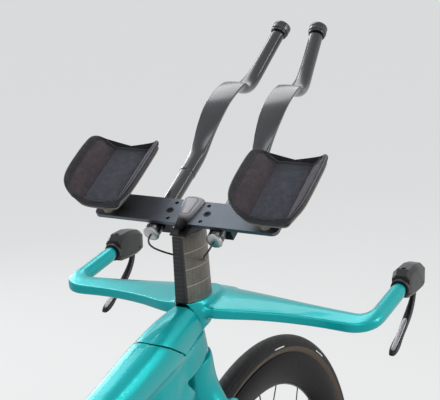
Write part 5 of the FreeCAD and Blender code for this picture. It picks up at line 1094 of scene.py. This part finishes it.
class BIKE_OT_arm_rests(bpy.types.Operator):
    """Cupped arm rests: ribbed cups and knitted foam pads"""
    bl_idname = "bike.arm_rests"
    bl_label = "Arm Rests"

    def execute(self, context):
        def sewn(index, mesh):
            return mesh.attributes["sewn"].data[index].value > SEWN_SHARE

        for hand, word in HANDS:
            eased(word + "_arm_cup", "steering", ("dark_plastic", "Cup Ribs"), 0.5)
            bm = swollen(rounded(pad_cage(hand), 2), sizes().pad_swell, sewn)
            pad = shown(word + "_arm_pad_cover", bm, "steering", ("pad_fabric", "Knit Cloth"),
                        (word + "_arm_pad",), levels=1)
        return {"FINISHED"}


class BIKE_OT_saddle(bpy.types.Operator):
    """Saddle, its rails and clamp, and the aero seatpost"""
    bl_idname = "bike.saddle"
    bl_label = "Saddle"

    def execute(self, context):
        bm = remeshed(copy_of("saddle_pad"), sizes().pad_voxel)
        relaxed(bm, 3)
        bm = swollen(bm, sizes().pad_swell)
        pad = shown("saddle_cover", bm, "seatpost", ("saddle_cover", "Saddle Hide"), ("saddle_pad",), levels=1)
        eased("saddle_shell", "seatpost", PLASTIC, name="saddle_base_eased")
        eased("saddle_rails", "seatpost", BRIGHT, 0)
        eased("saddle_clamp", "seatpost", ANODISED)
        eased("seatpost", "seatpost", LACQUER, 0.8)
        eased("seatpost_wedge", "frame", ANODISED)
        return {"FINISHED"}


# Sections of a lever's inlay from its pin: way back, drop, half width and half thickness of the lever there
LEVER_ROWS = ((29.2, 45.4, 5.4, 3.6), (43.9, 54.3, 5.4, 3.5), (58.5, 63.1, 5.4, 3.4), (70.1, 69.1, 5.3, 3.3),
              (81.7, 75.1, 5.1, 3.2))
INLAY_WIDTH, INLAY_THICKNESS, INLAY_TAPER = 0.62, 0.36, 0.6
INLAY_POWER, INLAY_POINTS = 3.0, 16
LEVER_PIN_REACH, LEVER_PIN_RISE = 226, 24
BOOT_REACH, BOOT_RISE = 168.6, 28.9
BOOT_HEADING = Vector((0.9889, 0.0, 0.1483))
BOOT_OUTLINE = ((0.0, 11.2), (0.0, 12.2), (0.6, 13.0), (4.0, 13.4), (5.5, 13.0), (5.5, 11.2))


def lever_inlay(pin):
    """Rounded blade let into the lever's rear face."""
    bm = bmesh.new()
    rings = []
    last = len(LEVER_ROWS) - 1
    for index, (back, drop, half_width, half_thick) in enumerate(LEVER_ROWS):
        before = LEVER_ROWS[max(index - 1, 0)]
        after = LEVER_ROWS[min(index + 1, last)]
        run = mm(before[0] - after[0], 0, before[1] - after[1]).normalized()
        face = run.cross(SIDE)
        centre = pin + mm(-back, 0, -drop) - face * (half_thick * MM)
        thick = INLAY_THICKNESS * (INLAY_TAPER if index in (0, last) else 1.0)
        rings.append(oval_ring(bm, centre, SIDE, face, half_width * INLAY_WIDTH * MM, half_thick * thick * MM,
                               INLAY_POWER, INLAY_POINTS))
    bridged(bm, rings)
    return bm


class BIKE_OT_brakes(bpy.types.Operator):
    """Brake hoods, levers, calipers and rotors"""
    bl_idname = "bike.brakes"
    bl_label = "Brakes"

    def execute(self, context):
        boots = bmesh.new()
        for hand, word in HANDS:
            eased(word + "_brake_hood", "steering", ("dark_plastic", "Hood Plastic"), 1.1)
            turned_about(boots, cockpit(BOOT_REACH, GRIP_SIDE * hand, BOOT_RISE), BOOT_HEADING, BOOT_OUTLINE)
            eased(word + "_brake_lever", word + "_lever", ("lever_black", "Black Alloy"), 0)
            pin = cockpit(LEVER_PIN_REACH, GRIP_SIDE * hand, LEVER_PIN_RISE)
            shown(word + "_lever_insert", lever_inlay(pin), word + "_lever", ("bright_steel", "Lever Silver"),
                  levels=2)
        shown("hood_boots", boots, "steering", PLASTIC, sharp=40)
        eased("hood_fasteners", "steering", ("bright_steel", "Black Steel"), 0.3)
        eased("front_brake_caliper", "steering", DARK_ALLOY, 0.8)
        eased("rear_brake_caliper", "frame", DARK_ALLOY, 0.8)
        eased("front_rotor", "front_wheel", ("bright_steel", "Front Rotor Steel"), 0.2)
        eased("rear_rotor", "rear_wheel", ("bright_steel", "Rear Rotor Steel"), 0.2)
        return {"FINISHED"}


# Wheel outlines: side and radius in millimetres
WHEEL_STEPS = 192
BEAD_OUTLINE = ((9.2, 314.0), (9.2, 310.2), (-9.2, 310.2), (-9.2, 314.0))
RIM_WELL = ((-9.5, 313.7), (-9.5, 309.2), (9.5, 309.2), (9.5, 313.7))
RIM_FLANK = ((13.2, 316.6), (13.8, 311), (14.0, 305.6), (13.6, 297), (12.3, 288.6), (10.6, 280.5), (8.4, 273.6),
             (5.0, 268.6))
RIM_INNER = ((0.0, 266.6),)
DISC_OUTLINE = ((13.2, 316.6), (13.9, 311), (14.0, 305.6), (28.0, 25.0), (-20.0, 25.0), (-14.0, 305.6),
                (-13.9, 311), (-13.2, 316.6))
# Half of the tread's outline in degrees from its crown, and the mould line in it
TREAD_TURNS = (12, 24, 36, 48, 50, 52, 58, 72, 88, 105, 122)
MOULD_TURN, MOULD_DEPTH = 50, 0.35


def spun(axle, outline):
    """Ring round an axle."""
    bm = bmesh.new()
    turned_about(bm, axle, SIDE, outline, WHEEL_STEPS, UP)
    return bm


def tyre_outline():
    """Round tread with a fine mould line each side, down to the beads."""
    half = sizes().tyre_width / MM / 2
    core = sizes().tyre_radius / MM - half
    outline = []
    for turn in (*(-turn for turn in reversed(TREAD_TURNS)), 0, *TREAD_TURNS):
        reach = half - (MOULD_DEPTH if abs(turn) == MOULD_TURN else 0.0)
        outline.append((reach * math.sin(math.radians(turn)), core + reach * math.cos(math.radians(turn))))
    return (*outline, *BEAD_OUTLINE)


class BIKE_OT_wheels(bpy.types.Operator):
    """Deep front wheel and rear disc wheel with smooth tyres"""
    bl_idname = "bike.wheels"
    bl_label = "Wheels"

    def execute(self, context):
        shown("front_tyre_tread", spun(FRONT_AXLE, tyre_outline()), "front_wheel", ("tyre_black", "Front Tyre"),
              ("front_tyre",), sharp=50)
        shown("rear_tyre_tread", spun(REAR_AXLE, tyre_outline()), "rear_wheel", ("tyre_black", "Rear Tyre"),
              ("rear_tyre",), sharp=50)
        far_flank = [(-side, radius) for side, radius in reversed(RIM_FLANK)]
        rim = (*RIM_FLANK, *RIM_INNER, *far_flank, *RIM_WELL)
        shown("front_rim_hoop", spun(FRONT_AXLE, rim), "front_wheel", LACQUER, ("front_rim",), sharp=50)
        disc = (*DISC_OUTLINE, *RIM_WELL)
        shown("rear_disc_skin", spun(REAR_AXLE, disc), "rear_wheel", LACQUER, ("rear_disc",), sharp=30)
        eased("front_spokes", "front_wheel", DARK_STEEL, 0)
        eased("front_hub", "front_wheel", ANODISED, 0.4)
        eased("rear_hub", "rear_wheel", ANODISED, 0.4)
        eased("front_axle", "steering", BRIGHT, 0.3)
        eased("rear_axle", "frame", BRIGHT, 0.3)
        return {"FINISHED"}


# Drive train: node, body, look and rounding of the edges in millimetres
DRIVE_PIECES = (
    ("chain", "frame", BRIGHT, 0), ("cassette", "cassette", BRIGHT, 0), ("chainring", "crank", DARK_ALLOY, 0),
    ("right_crank", "crank", LACQUER, 0.8), ("left_crank", "crank", LACQUER, 0.8),
    ("pedal_axles", "crank", BRIGHT, 0.3), ("left_pedal", "left_pedal", DARK_ALLOY, 0.8),
    ("right_pedal", "right_pedal", DARK_ALLOY, 0.8), ("guide_pulley", "guide_pulley", PLASTIC, 0),
    ("tension_pulley", "tension_pulley", PLASTIC, 0), ("derailleur_cage", "frame", DARK_ALLOY, 0.3),
    ("rear_derailleur", "frame", DARK_ALLOY, 0.8), ("derailleur_hanger", "frame", SATIN, 0.3),
    ("bottom_bracket_cups", "frame", DARK_ALLOY, 0.3), ("headset_bearings", "frame", BRIGHT, 0))


class BIKE_OT_drive(bpy.types.Operator):
    """Cranks, pedals, chain, cassette and derailleur"""
    bl_idname = "bike.drive"
    bl_label = "Drive Train"

    def execute(self, context):
        for row in DRIVE_PIECES:
            eased(*row)
        return {"FINISHED"}


# Stage

FLOOR_HALF = 60.0
# Lamps: name, place, target, width, height, power and colour
LAMPS = (("overhead", (-1.0, -0.6, 3.2), (0.2, 0.0, 0.9), 1.8, 1.4, 28.0, (1.0, 1.0, 1.0)),
         ("front", (1.9, 1.1, 2.9), (0.4, 0.0, 1.0), 1.6, 1.2, 22.0, (1.0, 1.0, 1.0)),
         ("left_strip", (1.9, 2.2, 1.7), (0.25, 0.0, 0.85), 0.4, 2.0, 17.0, (0.95, 0.98, 1.0)),
         ("right_strip", (1.3, -2.0, 1.5), (0.35, 0.0, 0.85), 0.5, 1.8, 22.0, (1.0, 0.95, 0.88)),
         ("fill", (-2.4, -1.6, 1.6), (0.2, 0.0, 0.8), 1.6, 1.6, 14.0, (1.0, 1.0, 1.0)))
# Camera: lens in millimetres, place, and turn, dip and roll in degrees
LENS = 108.49
EYE = (-1.1081, -0.7819, 1.3400)
EYE_ANGLES = (27.48, 13.84, -1.27)


def seen_directly(tree):
    """One for rays that see the background itself, or its image in gloss and glass."""
    camera, glossy, through = add(tree, "LightPath", "Is Camera Ray", "Is Glossy Ray", "Is Transmission Ray")
    return camera.most(glossy.most(through))


def blended(tree, factor, first, second, output):
    """Puts a blend of two shaders on the output node."""
    blend = add(tree, "MixShader", "Shader", inputs={0: factor, 1: first, 2: second})
    tree.links.new(blend.socket, tree.nodes[output].inputs["Surface"])


def floor_finish():
    look = Look("Pale Floor", Roughness=0.9, Specular_IOR_Level=0.1)
    tree = look.tree
    look.colour(speckle(tree, 3.0, 0.0, 0.15).mix((0.80, 0.80, 0.79), (0.77, 0.77, 0.765)))
    glow = add(tree, "Emission", "Emission", inputs={"Color": (0.93, 0.935, 0.94, 1.0), "Strength": 1.0})
    lit = Signal(tree, look.shader.outputs["BSDF"])
    blended(tree, seen_directly(tree) * 0.66, lit, glow, "Material Output")
    return look.material


def studio_world():
    world = bpy.data.worlds.new("Studio")
    world.use_nodes = True
    tree = world.node_tree
    soft = tree.nodes["Background"]
    soft.inputs["Color"].default_value = (0.92, 0.95, 1.0, 1.0)
    soft.inputs["Strength"].default_value = 0.30
    pale = add(tree, "Background", "Background", inputs={"Color": (0.88, 0.89, 0.90, 1.0), "Strength": 1.0})
    blended(tree, seen_directly(tree), Signal(tree, soft.outputs["Background"]), pale, "World Output")
    return world


class BIKE_OT_stage(bpy.types.Operator):
    """Pale floor, soft studio light and the camera"""
    bl_idname = "bike.stage"
    bl_label = "Stage"

    def execute(self, context):
        scene = context.scene
        scene.view_settings.view_transform = "Standard"
        bm = bmesh.new()
        bmesh.ops.create_grid(bm, x_segments=1, y_segments=1, size=FLOOR_HALF)
        floor = linked("floor", mesh_of(bm, "floor"))
        floor.data.materials.append(floor_finish())
        scene.world = studio_world()
        for name, place, target, wide, tall, power, tone in LAMPS:
            light = bpy.data.lights.new(name, "AREA")
            light.shape = "RECTANGLE"
            light.size = wide
            light.size_y = tall
            light.energy = power
            light.color = tone
            lamp = linked(name, light)
            lamp.location = place
            lamp.rotation_euler = (Vector(target) - Vector(place)).to_track_quat("-Z", "Y").to_euler()
            lamp.visible_camera = False
        camera = bpy.data.cameras.new("photo_view")
        camera.sensor_width = 36.0
        camera.sensor_fit = "HORIZONTAL"
        camera.lens = LENS
        camera.clip_end = 200.0
        eye = linked("photo_view", camera)
        turn, dip, roll = (math.radians(angle) for angle in EYE_ANGLES)
        look = Vector((math.cos(dip) * math.cos(turn), math.cos(dip) * math.sin(turn), -math.sin(dip)))
        right = look.cross(UP).normalized()
        top = right.cross(look)
        tilted_right = right * math.cos(roll) + top * math.sin(roll)
        tilted_top = top * math.cos(roll) - right * math.sin(roll)
        basis = Matrix((tilted_right, tilted_top, -look)).transposed().to_4x4()
        eye.matrix_world = Matrix.Translation(EYE) @ basis
        scene.camera = eye
        return {"FINISHED"}


STEPS = (BIKE_OT_stage, BIKE_OT_wires, BIKE_OT_frame, BIKE_OT_base_bar, BIKE_OT_tower, BIKE_OT_extensions,
         BIKE_OT_arm_rests, BIKE_OT_saddle, BIKE_OT_brakes, BIKE_OT_wheels, BIKE_OT_drive)


class BIKE_PT_parts(bpy.types.Panel):
    """Lists the steps that build the bike"""
    bl_idname = "BIKE_PT_parts"
    bl_label = "Time Trial Bike"
    bl_space_type = "VIEW_3D"
    bl_region_type = "UI"
    bl_category = "Bike"

    def draw(self, context):
        column = self.layout.column()
        for step in STEPS:
            column.operator(step.bl_idname)
        for group in (context.scene.bike_sizes, context.scene.bike_colours):
            for name in group.bl_rna.properties.keys():
                if name not in ("rna_type", "name"):
                    column.prop(group, name)


CLASSES = (BikeSizes, BikeColours) + STEPS + (BIKE_PT_parts,)


def register():
    for item in CLASSES:
        bpy.utils.register_class(item)
    bpy.types.Scene.bike_sizes = PointerProperty(type=BikeSizes)
    bpy.types.Scene.bike_colours = PointerProperty(type=BikeColours)


def unregister():
    del bpy.types.Scene.bike_colours
    del bpy.types.Scene.bike_sizes
    for item in reversed(CLASSES):
        bpy.utils.unregister_class(item)


def main():
    register()
    for step in STEPS:
        group, action = step.bl_idname.split(".")
        getattr(getattr(bpy.ops, group), action)()


if __name__ == "__main__":
    main()
